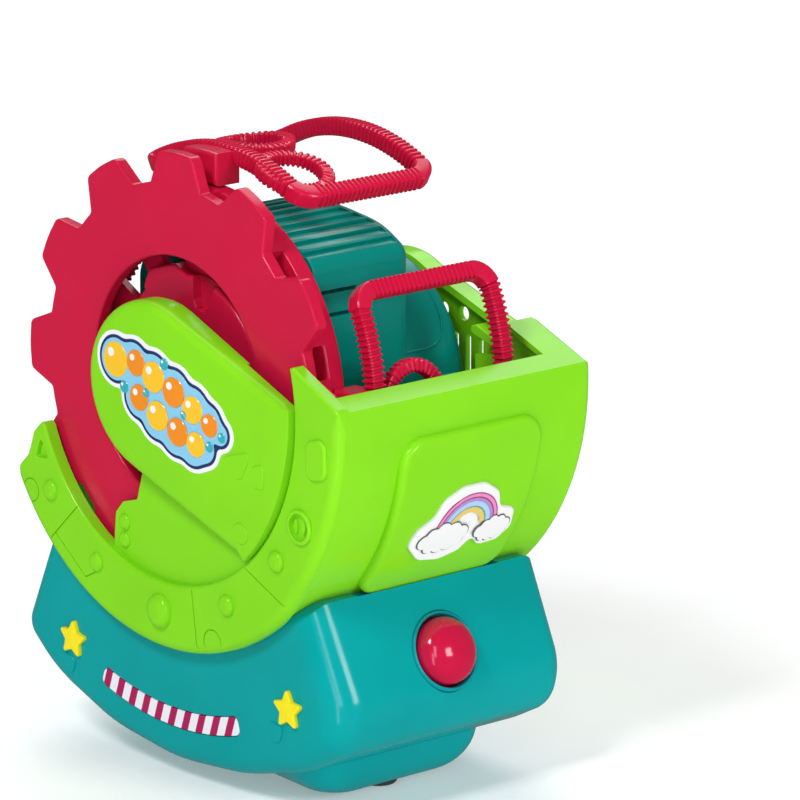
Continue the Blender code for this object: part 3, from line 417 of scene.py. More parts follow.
BAND_LEAN = 0.33
BAND_PITCH = 0.00737
BAND_PHASE = 2.4957
RASPBERRY = (0.60, 0.008, 0.050)
LIME = (0.235, 0.70, 0.012)
TEAL = (0.0, 0.335, 0.345)
DEEP_TEAL = (0.0, 0.25, 0.21)

MATERIALS = {
    "raspberry_plastic": plastic("raspberry", RASPBERRY, 0.20),
    "lime_plastic": plastic("lime", LIME, 0.20, spread=0.04),
    "teal_plastic": plastic("teal", TEAL, 0.16),
    "deep_teal_plastic": plastic("deep_teal", DEEP_TEAL, 0.24),
    "yellow_plastic": plastic("yellow", (0.93, 0.78, 0.01), 0.26),
    "fan_plastic": plastic("fan_white", (0.80, 0.80, 0.82), 0.42),
    "gear_plastic": plastic("gear_natural", (0.76, 0.74, 0.66), 0.45, bump=0.08),
    "black_plastic": plastic("black_moulding", (0.02, 0.02, 0.022), 0.45, bump=0.1),
    "steel": plastic("plated_steel", (0.60, 0.60, 0.62), 0.32, spread=0.08, grain=2500.0, bump=0.06,
                     metallic=1.0),
    "rubber": plastic("foot_rubber", (0.02, 0.05, 0.05), 0.75, bump=0.25, grain=500.0),
    "board": plastic("board_green", (0.01, 0.16, 0.05), 0.35, coat=0.2),
    "arm_film": plastic("film_white", (0.88, 0.90, 0.93), 0.22, spread=0.01, coat=0.6),
    "rainbow_film": plastic("puffy_white", (0.90, 0.90, 0.90), 0.3, spread=0.01, coat=0.5, glow=0.05),
    "striped_plastic": plastic("insert_white", (0.90, 0.86, 0.90), 0.25, spread=0.01),
    "cell_jacket": plastic("cell_sleeve", (0.04, 0.05, 0.09), 0.3),
}
PRINT_COLOURS = {
    "navy": (0.012, 0.035, 0.14), "sky": (0.25, 0.60, 0.85), "aqua": (0.03, 0.42, 0.50),
    "orange": (0.88, 0.27, 0.01), "amber": (0.95, 0.55, 0.02),
    "pink": (0.78, 0.28, 0.52), "violet": (0.40, 0.27, 0.62), "magenta": (0.42, 0.01, 0.20),
    "pale_blue": (0.42, 0.62, 0.86), "gold": (0.78, 0.58, 0.15), "line_grey": (0.10, 0.09, 0.10),
}
INK = {name: plastic("ink_" + name, rgb, 0.25, spread=0.02, coat=0.5) for name, rgb in PRINT_COLOURS.items()}

for subpart in frame["record"]["subparts"]:
    node = frame["nodes"][subpart["node"]]
    node.data.materials.clear()
    node.data.materials.append(MATERIALS[subpart["material_slot"]])


def round_edges(thing, width, segments=3, degrees=38):
    step = thing.modifiers.new("edges", "BEVEL")
    step.width = width * MM
    step.segments = segments
    step.limit_method = "ANGLE"
    step.angle_limit = math.radians(degrees)


def piece(shape, name, slot, body="machine", replaces=(), material=None, bevel=0.0, sharp=38, weighted=True):
    """Finishes a shape as a visible piece that rides on a body."""
    thing = shape.finish(name, sharp)
    thing.data.materials.append(material or MATERIALS[slot])
    if bevel > 0:
        round_edges(thing, bevel)
    if weighted:
        flat = thing.modifiers.new("shading", "WEIGHTED_NORMAL")
        flat.keep_sharp = True
    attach(thing, body)
    if replaces:
        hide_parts(*replaces)
    return thing


def carve(thing, shapes, operation="DIFFERENCE"):
    """Applies Boolean cuts to a piece before its edges are rounded."""
    for number, shape in enumerate(shapes):
        tool = shape.finish(f"{thing.name}_tool_{number}")
        step = thing.modifiers.new(f"cut_{number}", "BOOLEAN")
        step.operation = operation
        step.object = tool
        step.solver = "EXACT"
        bpy.context.view_layer.update()
        graph = bpy.context.evaluated_depsgraph_get()
        for other in thing.modifiers:
            other.show_viewport = other == step
        graph.update()
        result = bpy.data.meshes.new_from_object(thing.evaluated_get(graph))
        thing.modifiers.remove(step)
        old = thing.data
        thing.data = result
        bpy.data.meshes.remove(old)
        for other in thing.modifiers:
            other.show_viewport = True
        bpy.data.objects.remove(tool, do_unlink=True)
    thing.data.shade_smooth()
    thing.data.set_sharp_from_angle(angle=math.radians(38))


# ---- wheel

TEETH = 12
TIP = 80.0
ROOT = 69.0
EYE = 44.0
RIM = 67.8
RIM_BACK = 17.3


def toothed_outline():
    corners = []
    radii = []
    for i in range(TEETH):
        middle = 360.0 * i / TEETH
        corners += [polar(ROOT, middle - 11.0), polar(TIP - 0.3, middle - 6.2), polar(TIP, middle),
                    polar(TIP - 0.3, middle + 6.2), polar(ROOT, middle + 11.0), polar(ROOT, middle + 15.0)]
        radii += [1.6, 2.6, 40.0, 2.6, 1.6, 40.0]
    return rounded(corners, radii, 5)


def build_wheel():
    eye = circle(EYE, 96)
    shape = plate(toothed_outline(), 0.0, 4.8, 0.9, 0.5, [eye], 0.9)
    piece(shape, "fine_tooth_plate", "raspberry_plastic", "wheel", ["wheel_tooth_plate"])

    front = 10.4
    profile = rounded([(4.8, 57.2), (4.8, 60.4), (front, 60.4), (front, RIM), (RIM_BACK, RIM),
                       (RIM_BACK, 57.2)],
                      [0.2, 0.2, 0.5, 0.9, 0.9, 0.4], 3)
    rim = turned(profile, 120)
    for i in range(TEETH):
        middle = 360.0 * i / TEETH
        start, end = middle - 10.2, middle + 10.2
        backing = arc(ROOT - 0.8, start, end, 10) + arc(59.6, end, start, 10)
        rim.add(prism(backing, 3.8, front + 0.9))
    piece(rim, "fine_rim", "raspberry_plastic", "wheel", ["wheel_rim"])

    hub_profile = rounded([(2.4, 3.3), (2.4, 8.8), (10.4, 8.8), (10.4, 56.9), (13.4, 56.9), (13.4, 9.0),
                           (18.0, 9.0), (18.0, 3.3)], [0.3, 0.6, 0.8, 0.3, 0.3, 0.5, 0.5, 0.3], 3)
    hub = turned(hub_profile, 96)
    disc_profile = rounded([(6.2, 20.0), (6.2, 36.8), (10.8, 36.8), (10.8, 20.0)], [0.3, 1.2, 0.3, 0.3], 4)
    hub.add(turned(disc_profile, 96))
    web = piece(hub, "fine_hub", "raspberry_plastic", "wheel", ["wheel_hub"])
    cuts = []
    for i in range(TEETH):
        middle = 18.0 + 360.0 * i / TEETH
        window = rounded([polar(39.0, middle - 8), polar(39.0, middle + 8), polar(53.0, middle + 9.5),
                          polar(53.0, middle - 9.5)], 1.6, 4)
        cuts.append(prism(window, 0.0, 16.0))
    for middle in (78.0, 198.0, 318.0):
        pocket = rounded([polar(26.0, middle - 7), polar(26.0, middle + 7), polar(38.5, middle + 9),
                          polar(38.5, middle - 9)], 1.2, 4)
        cuts.append(prism(pocket, 0.0, 9.6))
    carve(web, cuts)
    for number, middle in enumerate((111.0, 231.0, 351.0)):
        lug_outline = rounded([(-12.5, 22.0), (12.5, 22.0), (12.5, 33.5), (6.5, 39.8), (-7.5, 41.0),
                               (-12.5, 36.0)], 1.4, 4)
        lug = plate(lug_outline, 6.1, 10.8, 1.0, 0.2)
        lug.transform(Matrix.Rotation(math.radians(90.0 - middle), 4, "X"))
        piece(lug, f"hub_lug_{number + 1}", "raspberry_plastic", "wheel")


WAND_RADIUS = 77.5
WAND_RING = 11.5


def wand_outer(centre):
    half = math.radians(30.5) * WAND_RADIUS
    corners = [(22.0, -half), (80.0, -half), (80.0, half), (22.0, half)]
    flat = spaced(rounded(corners, 7.0, 8), 1.0)
    return [lay(x, polar(WAND_RADIUS, centre + math.degrees(s / WAND_RADIUS))) for x, s in flat]


def wand_ring(centre, x):
    return [lay(x + a, polar(WAND_RADIUS, centre + math.degrees(b / WAND_RADIUS)))
            for a, b in circle(WAND_RING, 96)]


def ribbed(path, half, depth, sides, smooth_turn=180.0):
    """A corrugated tube: ribs every two millimetres, and none where the path turns sharply."""
    points = resample(path, 0.5)
    count = len(points)
    wide = squircle(half, sides, 0.4)
    narrow = squircle(half - depth, sides, 0.4)
    bends = []
    for i in range(count):
        before = points[i] - points[i - 3]
        after = points[(i + 3) % count] - points[i]
        bends.append(math.degrees(before.angle(after)) > smooth_turn)

    def section(index):
        return wide if index % 4 < 2 or bends[index] else narrow

    return swept(points, section, True, True)


def build_wands():
    root = RIM + 0.6
    for name, centre in (("front", 0), ("top", 90), ("back", 180), ("bottom", 270)):
        shape = ribbed(wand_outer(centre), 3.2, 0.8, 16, 11.5)
        for x, offset in ((30.5, -20.0), (38.0, 2.0)):
            shape.add(ribbed(wand_ring(centre + offset, x), 2.5, 0.6, 12))
        post = arc(root, centre - 7.1, centre + 7.1, 10) + arc(79.6, centre + 6.2, centre - 6.2, 10)
        shape.add(plate(post, 11.0, 21.8, 1.4, 0.4))
        piece(shape, f"ribbed_wand_{name}", "raspberry_plastic", "wheel", [f"wand_{name}"], sharp=30)


# ---- trough, flange and covers

TROUGH = 91.0
LEFT = -3.6
RIGHT = 98.0
FLANGE_FRONT = -6.7
FLANGE_BACK = -1.7
WRAP = 105.2
LIP = [(90.8, 7.2), (83.0, 10.35), (82.9, 8.2), (88.2, 6.0)]
WEIR = [(-14.0, -33.0), (-17.0, -43.4), (-24.6, -45.6), (-28.6, -50.0), (-29.4, -58.0), (-30.0, -64.2),
        (0.0, -72.0), (24.0, -69.5), (45.0, -55.0), (45.0, -38.0), (20.0, -34.0)]
SEAMS = (((-45.9, -50.9), (-62.8, -67.0)), ((-58.3, -62.8), (-41.9, -75.4)), ((-41.9, -75.4), (-36.9, -72.9)),
         ((15.3, -68.0), (17.8, -87.2)), ((17.8, -87.2), (22.1, -93.5)), ((42.4, -54.2), (65.2, -64.8)),
         ((65.2, -64.8), (73.8, -65.4)))
DISC_LINES = (((-71.6, -50.1), 4.1), ((26.1, -84.5), 4.5))
RECESS = [(-66.1, -29.9), (-61.6, -37.2), (-68.6, -37.6)]
DOMES = (((-60.4, -48.0), 3.7), ((-35.5, -68.8), 3.4), ((-1.4, -79.0), 6.0), ((33.9, -69.7), 3.8),
         ((59.8, -49.0), 3.8))
ROUND_BOSS = (71.9, -34.7)
PILL = [(75.6, -18.6), (85.6, -16.0), (85.4, -1.8), (75.4, -4.6)]


def flange_outline():
    """The left wall's ring; below the front it stands a little proud of the trough."""
    inner = arc(68.7, 15.4, -158.0, 90)
    back_end = rounded([inner[-1], (-65.6, -24.3), (-70.4, -29.0), (-71.5, -32.6), (-73.4, -37.4),
                        (-78.6, -42.6), polar(92.5, -148.0)], [0.0, 1.5, 1.5, 1.5, 1.5, 2.0, 0.0], 4)[1:-1]
    outer = []
    for i in range(101):
        degrees = -150.0 + 151.0 * i / 100
        mix = min(1.0, max(0.0, (degrees + 52.0) / 14.0))
        outer.append(polar(92.5 - 1.4 * mix * mix * (3 - 2 * mix), degrees))
    horn = rounded([outer[-1], (91.0, 7.2), (89.6, 8.2), (67.9, 18.9), inner[0]],
                   [0.0, 1.2, 1.2, 1.0, 0.0], 4)[1:-1]
    return inner, back_end, outer, horn


def build_flange():
    inner, back_end, outer, horn = flange_outline()
    outline = inner + back_end + outer + horn
    weights = [1.3] * len(inner) + [1.2] * len(back_end) + [4.0] * len(outer) + [1.2] * len(horn)
    depths = [1.2] * len(inner) + [1.0] * len(back_end) + [3.4] * len(outer) + [1.0] * len(horn)
    rows = [loop_at(FLANGE_BACK, outline)]
    for angle in quarter(7):
        level = [FLANGE_FRONT + d * (1 - math.sin(angle)) for d in depths]
        rows.append(loop_at(level, inset(outline, [w * (1 - math.cos(angle)) for w in weights])))
    flange = piece(Shape().solid(rows), "fine_flange", "lime_plastic", "machine", ["left_cover"])
    grooves = []
    for start, end in SEAMS:
        a, b = Vector(start), Vector(end)
        side = (b - a).orthogonal().normalized() * 0.22
        strip = [tuple(a + side), tuple(b + side), tuple(b - side), tuple(a - side)]
        grooves.append(prism(strip, FLANGE_FRONT - 2.0, FLANGE_FRONT + 0.6))
    for centre, size in DISC_LINES:
        top, bottom = FLANGE_FRONT - 1.0, FLANGE_FRONT + 0.5
        grooves.append(turned([(top, size - 0.25), (top, size + 0.25), (bottom, size + 0.25),
                               (bottom, size - 0.25)], 40, centre))
    grooves.append(prism(rounded(RECESS, 0.9, 3), FLANGE_FRONT - 2.0, FLANGE_FRONT + 1.6))
    grooves.append(prism(circle(4.4, 48, ROUND_BOSS), FLANGE_FRONT - 3.0, FLANGE_FRONT + 0.6))
    carve(flange, grooves)
    bosses = Shape()
    for centre, radius in DOMES:
        bosses.add(dome(centre, radius, radius * 0.55, FLANGE_FRONT))
    bosses.add(plate(rounded(PILL, 3.6, 8), FLANGE_FRONT - 1.3, FLANGE_FRONT + 0.8, 1.0, 0.1))
    bosses.add(plate(circle(6.0, 48, ROUND_BOSS), FLANGE_FRONT - 1.3, FLANGE_FRONT + 0.3, 0.6, 0.1,
                     [circle(4.6, 48, ROUND_BOSS)], 0.4))
    for side in (-1.0, 1.0):
        lens = [(ROUND_BOSS[0] + side * 1.9 + 0.8 * math.cos(t * math.pi / 12),
                 ROUND_BOSS[1] + 2.3 * math.sin(t * math.pi / 12)) for t in range(24)]
        bosses.add(plate(lens, FLANGE_FRONT - 0.5, FLANGE_FRONT + 0.9, 0.3, 0.1))
    piece(bosses, "flange_bosses", "lime_plastic")


def build_trough():
    """One side profile drawn the full width, with its walls, its sloped rim and the weir joined on."""
    inner = TROUGH - 2.5
    profile = arc(TROUGH + 0.12, -152.0, 4.3, 120) + LIP + arc(inner, 3.6, -152.0, 118)
    trough = piece(prism(profile, LEFT, WRAP), "fine_trough", "lime_plastic", "machine", ["trough_tub"],
                   bevel=0.6)
    left_wall = arc(TROUGH - 0.2, -151.9, 4.0, 100) + arc(69.2, 4.0, -151.0, 100)
    right_wall = arc(TROUGH - 0.2, -151.9, 4.2, 100) + arc(46.0, 4.2, -151.9, 70)
    carve(trough, [
        prism(left_wall, LEFT + 0.1, LEFT + 2.0),
        prism(right_wall, RIGHT - 2.5, RIGHT - 0.02),
        prism(rounded(WEIR, 1.2, 4), LEFT, LEFT + 2.01),
        prism([(64.0, 3.6), (64.0, 17.0), (90.4, 6.2), (90.4, 3.6)], RIGHT - 2.45, RIGHT - 0.04),
        prism([(64.0, 16.0), (64.0, 18.0), (90.75, 7.2), (90.6, 5.1)], 92.7, WRAP - 0.06),
    ], "UNION")
    buttons = Shape()
    for centre in ((-23.5, -52.5), (-23.6, -58.9)):
        buttons.add(dome(centre, 2.8, 1.6, LEFT, 24, 5))
    piece(buttons, "weir_buttons", "lime_plastic")


def pad_shape(x0, x1, low, high, radius, thickness, corner, edge):
    """A rounded rectangular pad laid on the trough's curved front, with rounded edges."""
    reach = 180.0 / math.pi / radius
    half_x = (x1 - x0) / 2
    half_s = (high - low) / reach / 2
    centre_x = (x0 + x1) / 2
    centre_a = (low + high) / 2
    outline = spaced(rounded([(-half_x, -half_s), (half_x, -half_s), (half_x, half_s), (-half_x, half_s)],
                             corner, 8), 3.0)

    def wrap(points, level):
        return [lay(centre_x + x, polar(radius + level, centre_a + s * reach)) for x, s in points]

    levels = [wrap(outline, 0.0)]
    for angle in quarter(5):
        level = thickness - edge + edge * math.sin(angle)
        levels.append(wrap(inset(outline, edge * (1 - math.cos(angle))), level))
    shape = Shape()
    made = shape.loops(levels)
    shape.cap(made[0])
    inner = inset(outline, edge)
    shape.shrink(made[-1], lambda size: wrap([(x * size, s * size) for x, s in inner], thickness), 12)
    return shape


def build_pad():
    shape = pad_shape(21.0, 84.0, -44.5, -4.0, TROUGH + 0.05, 3.1, 9.0, 2.2)
    piece(shape, "fine_pad", "lime_plastic", "machine", ["front_pad"], sharp=60)


def cover_outline():
    crown = arc(30.0, 62.0, 118.0, 14, (2.0, 2.5))
    rear = rounded([crown[-1], (-60.0, 14.0), (-84.0, -20.0), polar(TROUGH, -162.0)], [0, 6, 6, 0], 5)[1:-1]
    return [(90.6, 6.9), (64.3, 17.6), (63.8, 12.3)] + crown + rear + arc(TROUGH, -162.0, 3.0, 70)


def build_right_cover():
    outline = cover_outline()
    shell = Shape().solid(edge_rows(outline, RIGHT + 0.3, 108.0, 0.0, 3.0, 6))
    cover = piece(shell, "fine_right_cover", "lime_plastic", "machine", ["right_cover"], bevel=0.3)
    cuts = [prism(inset(outline, 2.5), RIGHT - 3.0, 105.8)]
    for forward in (-23.2, -12.8, -2.4, 8.0, 18.4, 28.8):
        cuts.append(prism(circle(2.6, 28, (forward, 13.0)), 103.8, 111.0))
    for number in range(12):
        forward = -31.9 + 6.3 * number
        low = 6.0 - 15.0 - 15.0 * (1 - (forward / 38.0) ** 2)
        slot = [(forward - 1.4, low), (forward + 1.4, low), (forward + 1.4, 6.0), (forward - 1.4, 6.0)]
        cuts.append(prism(rounded(slot, 1.35, 5), 103.8, 111.0))
    carve(cover, cuts)
    tab = rounded([(44.2, 10.6), (60.8, 5.7), (60.8, 8.6), (47.0, 14.0), (44.2, 13.2)], 1.2, 4)
    piece(plate(tab, 94.7, 105.5, 0.6, 0.2), "fine_cover_tab", "lime_plastic", "machine", ["cover_stud"])


# ---- blower

FAN_Z = -8.0
GROOVES = (-24.0, -17.0, -10.0, -3.0, 4.0, 11.0, 18.0, 24.6, 31.0, 37.4, 42.6)


def on_top(outline, forward):
    """The highest point of an outline at a given forward distance, and the outline's direction there."""
    best = None
    for i, a in enumerate(outline):
        b = outline[(i + 1) % len(outline)]
        if (a[0] - forward) * (b[0] - forward) <= 0 and abs(a[0] - b[0]) > 1e-6:
            up = a[1] + (b[1] - a[1]) * (forward - a[0]) / (b[0] - a[0])
            if best is None or up > best[0]:
                direction = Vector((b[0] - a[0], b[1] - a[1])).normalized()
                best = (up, direction if direction.x > 0 else -direction)
    return Vector((forward, best[0])), best[1]


def build_drum():
    """The motor housing: its top is shingled, each slat tucked under the one behind it."""
    smooth = rounded([(48.0, -42.0), (48.4, 12.0), (48.2, 46.4), (36.0, 53.4), (8.0, 57.2), (-18.0, 53.6),
                      (-36.0, 42.5), (-43.5, 30.0), (-44.0, -42.0)],
                     [3, 60, 7, 40, 90, 60, 20, 12, 3], 10)
    smooth = spaced(smooth, 3.0)
    body = Shape().solid(edge_rows(smooth, 20.0, 64.8, 0.6, 6.0, 8))
    drum = piece(body, "fine_drum", "deep_teal_plastic", "machine", ["blower_drum"], sharp=45)
    cuts = []
    for forward in GROOVES:
        base, tangent = on_top(smooth, forward)
        normal = Vector((-tangent.y, tangent.x))
        reach = 6.2 if forward < 30 else 5.4 if forward < 40 else 3.6
        wedge = [tuple(base + tangent * a + normal * b) for a, b in
                 ((0.0, 4.0), (0.0, -1.15), (0.5, -1.05), (reach, 0.05), (reach, 4.0))]
        cuts.append(prism(wedge, 15.0, 57.0 + 0.07 * max(0.0, forward)))
    for up in (36.0, 28.0):
        groove = [(44.3, up - 0.4), (50.0, up - 0.8), (50.0, up + 0.8), (44.3, up + 0.4)]
        cuts.append(prism(groove, 15.0, 39.0))
    carve(drum, cuts)
    round_edges(drum, 0.25, 2, 35)


def build_volute():
    outline = circle(44.0, 120, (0, FAN_Z))
    shell = plate(outline, 65.2, 93.8, 0.5, 4.0, [circle(20.0, 72, (0, FAN_Z))], 1.0, 8)
    spout = rounded([(10.0, -50.0), (54.0, -46.0), (57.0, -8.0), (30.0, 4.0)], 3.0, 5)
    shell.add(plate(spout, 65.4, 89.8, 0.5, 1.5))
    piece(shell, "fine_volute", "deep_teal_plastic", "machine", ["blower_volute"], sharp=45)
    ridge = []
    for x, up in ((66.0, 7.2), (72.0, 7.2), (77.0, 7.2), (81.0, 7.9), (84.0, 9.6), (86.3, 12.4), (87.5, 16.0),
                  (88.0, 20.0), (88.0, 26.0)):
        forward = math.sqrt(44.0 ** 2 - (up - FAN_Z) ** 2)
        ridge.append(lay(x, (forward, up)))
    bead = squircle(0.5, 10, 1.0)
    piece(swept(resample(ridge, 1.0, False), lambda index: bead, False), "volute_ridge", "deep_teal_plastic")


# ---- drive arm

ARM_ANGLE = -22.5
ARM_FRONT = -14.5


def arm_axes(point):
    angle = math.radians(ARM_ANGLE)
    along = point[0] * math.cos(angle) + point[1] * math.sin(angle)
    across = -point[0] * math.sin(angle) + point[1] * math.cos(angle)
    return along, across


def arm_face(point):
    """The face leans back towards the rim and is slightly crowned."""
    along, across = arm_axes(point)
    lean = 0.075 * (along + math.sqrt(along * along + 60.0)) / 2
    return ARM_FRONT + lean + 0.0012 * across * across


def build_arm():
    radius = 30.5
    rim_limit = 68.4
    half = math.degrees(math.asin(radius / rim_limit))
    outline = arc(radius, ARM_ANGLE + 90, ARM_ANGLE + 270, 40)
    outline += arc(rim_limit, ARM_ANGLE - half, ARM_ANGLE + half, 30)
    outline = spaced(outline, 4.0)
    edges = [3.6 if math.hypot(*p) < rim_limit - 0.2 else 0.35 for p in outline]
    rows = [loop_at(-4.6, outline)]
    for angle in quarter(7):
        ring = inset(outline, [edge * (1 - math.cos(angle)) for edge in edges])
        rows.append([lay(arm_face(p) + edge * (1 - math.sin(angle)), p) for p, edge in zip(ring, edges)])
    shape = Shape()
    made = shape.loops(rows)
    shape.cap(made[0])
    base = [(-v.co.y, v.co.z) for v in made[-1]]
    middle = Vector((sum(p[0] for p in base) / len(base), sum(p[1] for p in base) / len(base)))

    def smaller(size):
        return [lay(arm_face(p), p) for p in (middle.lerp(Vector(q), size) for q in base)]

    shape.shrink(made[-1], smaller, 14)
    piece(shape, "fine_arm", "lime_plastic", "machine", ["drive_arm_cover"], sharp=50, weighted=False)
    reliefs = Shape()
    for outline in (rounded([(38.3, -16.0), (51.8, -12.2), (46.0, -24.6)], [1.6, 1.6, 2.2], 5),
                    rounded([(51.9, -17.0), (57.4, -15.5), (57.2, -24.6), (52.0, -24.4)], 1.6, 5),
                    circle(3.7, 36, (44.7, -41.9))):
        reliefs.add(relief_on(arm_face, outline, 0.7, 0.5))
    piece(reliefs, "arm_reliefs", "lime_plastic", sharp=50)


def relief_on(surface, outline, height, edge=0.25, drop=0.3):
    """A thin raised shape that follows a face."""
    outline = spaced(outline, 1.5)
    return Shape().solid([[lay(surface(p) + drop, p) for p in outline],
                          [lay(surface(p) - height + edge, p) for p in outline],
                          [lay(surface(p) - height, p) for p in inset(outline, edge)]])


# ---- base

FLARE = math.radians(23.8)
BUTTON = (79.3, -87.0)
BASE_LEFT = -0.7
BASE_RIGHT = 103.0
BASE_MIDDLE = (BASE_LEFT + BASE_RIGHT) / 2


def slope_matrix():
    return Matrix.Rotation(math.radians(-90), 4, "Z") @ Matrix.Rotation(-FLARE, 4, "Y")


def on_front(shape):
    """Turns a shape whose axis is +X so that it points out of the base's front, at the button."""
    centre = Vector((BASE_MIDDLE, -BUTTON[0], BUTTON[1]))
    return shape.transform(Matrix.Translation(centre) @ slope_matrix())


def base_outline():
    corners = [(69.5, -64.0), (85.4, -100.0), (81.5, -114.5), (62.0, -124.6), (30.0, -132.6), (-4.0, -135.0),
               (-38.0, -130.0), (-70.0, -117.6), (-86.6, -103.0), (-69.5, -64.0)]
    radii = [0.0, 24.0, 14.0, 60.0, 90.0, 90.0, 80.0, 60.0, 9.0, 0.0]
    return rounded(corners, radii, 10)


BATTERY_BAY = [(-77.5, -90.3), (-76.0, -100.5), (-73.0, -103.4), (-46.0, -106.6), (-46.0, -90.4),
               (-57.0, -90.0), (-57.0, -76.2), (-61.0, -72.4), (-69.6, -72.4)]


def build_base():
    outline = base_outline()
    broad = [7.0 + 5.0 * min(1.0, max(0.0, (p[0] - 58.0) / 20.0)) for p in outline]
    shape = Shape().solid(edge_rows(outline, BASE_LEFT, BASE_RIGHT, broad, 7.0, 9))
    base = piece(shape, "fine_base", "teal_plastic", "machine", ["base_shell"], sharp=45)
    cradle = prism(circle(91.4, 200), -30.0, 130.0)
    pad_room = turned([(20.4, 85.0), (84.6, 85.0), (84.6, 94.6), (20.4, 94.6)], 12, (0, 0), -45.2, -30.0)
    hole = on_front(prism(circle(14.2, 72), -17.0, 12.0))
    door = door_block(0.3, -3.2, 6.0)
    band = prism(band_outline(3.6), BASE_LEFT - 3.0, BASE_LEFT + 1.6)
    bay = prism(inset(BATTERY_BAY, -1.75), 21.85, 80.65)
    carve(base, [cradle, pad_room, hole, door, band, bay])
    round_edges(base, 0.4, 3, 40)


def door_block(margin, inner, outer):
    low = Vector((-83.0, -94.9))
    normal = Vector((-math.cos(FLARE), math.sin(FLARE)))
    along = Vector((math.sin(FLARE), math.cos(FLARE)))
    start = low - along * margin
    end = low + along * (29.0 + margin)
    outline = [tuple(start + normal * outer), tuple(end + normal * outer), tuple(end + normal * inner),
               tuple(start + normal * inner)]
    return prism(outline, 23.0 - margin, 79.5 + margin)


def band_outline(half):
    """A curved band about the wheel's axis with rounded corners."""
    radius, start, end = 118.2, -109.8, -74.0
    reach = math.radians(end - start) * radius / 2
    flat = spaced(rounded([(-reach, -half), (reach, -half), (reach, half), (-reach, half)], 2.4, 5), 2.0)
    middle = (start + end) / 2
    return [polar(radius + b, middle + math.degrees(a / radius)) for a, b in flat]


PEDESTAL_FLOOR = -139.0


def build_pedestal():
    low = rounded([(26.0, 52.0), (76.0, 52.0), (66.0, -36.0), (36.0, -36.0)], 8.0, 8)
    high = rounded([(10.0, 60.0), (92.0, 60.0), (80.0, -46.0), (22.0, -46.0)], 12.0, 8)
    rows = []
    for turn in quarter(12):
        mix = math.sin(turn)
        ring = [(a[0] + (b[0] - a[0]) * mix, a[1] + (b[1] - a[1]) * mix) for a, b in zip(low, high)]
        rows.append([Vector((x, -f, PEDESTAL_FLOOR + 15.0 * (1 - math.cos(turn)))) for x, f in ring])
    rows.append([Vector((x, -f, -118.0)) for x, f in high])
    stand = piece(Shape().solid(rows), "fine_pedestal", "teal_plastic", "machine", ["pedestal"], sharp=50)
    carve(stand, [prism(inset(base_outline(), -0.2), -20.0, 130.0)])


def build_button():
    profile = [(-9.0, 13.0), (-7.4, 13.0), (-7.2, 11.7)]
    dome_rows = [loop_at(x, circle(r, 96)) for x, r in profile]
    for angle in quarter(13)[:-1]:
        dome_rows.append(loop_at(0.6 + 7.9 * math.sin(angle), circle(11.7 * math.cos(angle) ** 0.9, 96)))
    button = Shape().solid(dome_rows)
    piece(on_front(button), "fine_button", "raspberry_plastic", "button", ["push_button"], sharp=60,
          material=BUTTON_LOOK)
    ring = rounded([(-5.4, 12.5), (-5.4, 14.0), (0.2, 14.0), (1.0, 13.7), (1.0, 12.9), (-0.6, 12.5)],
                   [0.2, 0.2, 0.2, 0.35, 0.35, 0.3], 4)
    piece(on_front(turned(ring, 96)), "fine_bezel", "teal_plastic", "machine", ["button_bezel"],
          material=BEZEL_LOOK)


BUTTON_LOOK = plastic("button_red", (0.56, 0.006, 0.050), 0.10, spread=0.03, coat=0.3)
BEZEL_LOOK = plastic("bezel_teal", (0.0, 0.30, 0.33), 0.2, spread=0.03)


def star(centre, radius, turn, x, height):
    """A star with a softly crowned top."""
    outline = rounded([polar(radius if i % 2 == 0 else radius * 0.5, turn + 36 * i, centre)
                       for i in range(10)], [0.8, 0.5] * 5, 4)
    rows = [loop_at(x + 0.4, outline), loop_at(x - height * 0.6, outline)]
    for angle in quarter(4)[1:]:
        ring = inset(outline, 0.55 * (1 - math.cos(angle)))
        rows.append(loop_at(x - height * (0.6 + 0.3 * math.sin(angle)), ring))
    top = [(-v.y, v.z) for v in rows[-1]]
    for k in range(1, 6):
        ring = [tuple(Vector(p).lerp(Vector(centre), k / 6)) for p in top]
        rows.append(loop_at(x - height * (0.9 + 0.1 * math.sin(math.pi / 2 * k / 6)), ring))
    return Shape().solid(rows)


def build_base_trim():
    face = BASE_LEFT
    for place, *size in (("rear", (-56.0, -101.8), 7.6, 84), ("front", (59.0, -101.9), 7.8, 92)):
        piece(star(*size, face, 1.8), f"fine_star_{place}", "yellow_plastic", "machine",
              [f"star_{place}"], sharp=70, weighted=False)
    tears = Shape()
    for forward, up in ((-58.7, -110.8), (52.4, -110.8)):
        drop = rounded([(forward - 4.0, up + 3.4), (forward + 3.4, up + 1.8), (forward + 2.0, up - 4.2),
                        (forward - 2.4, up - 4.0)], [1.4, 2.0, 2.4, 2.4], 5)
        tears.add(plate(drop, face - 0.7, face + 2.0, 0.6, 0.1))
    piece(tears, "base_drops", "teal_plastic")
    insert = plate(band_outline(3.3), face - 0.2, face + 1.4, 0.3, 0.05)
    piece(insert, "fine_insert", "striped_plastic", "machine", ["striped_insert"], material=stripes())


# ---- stickers

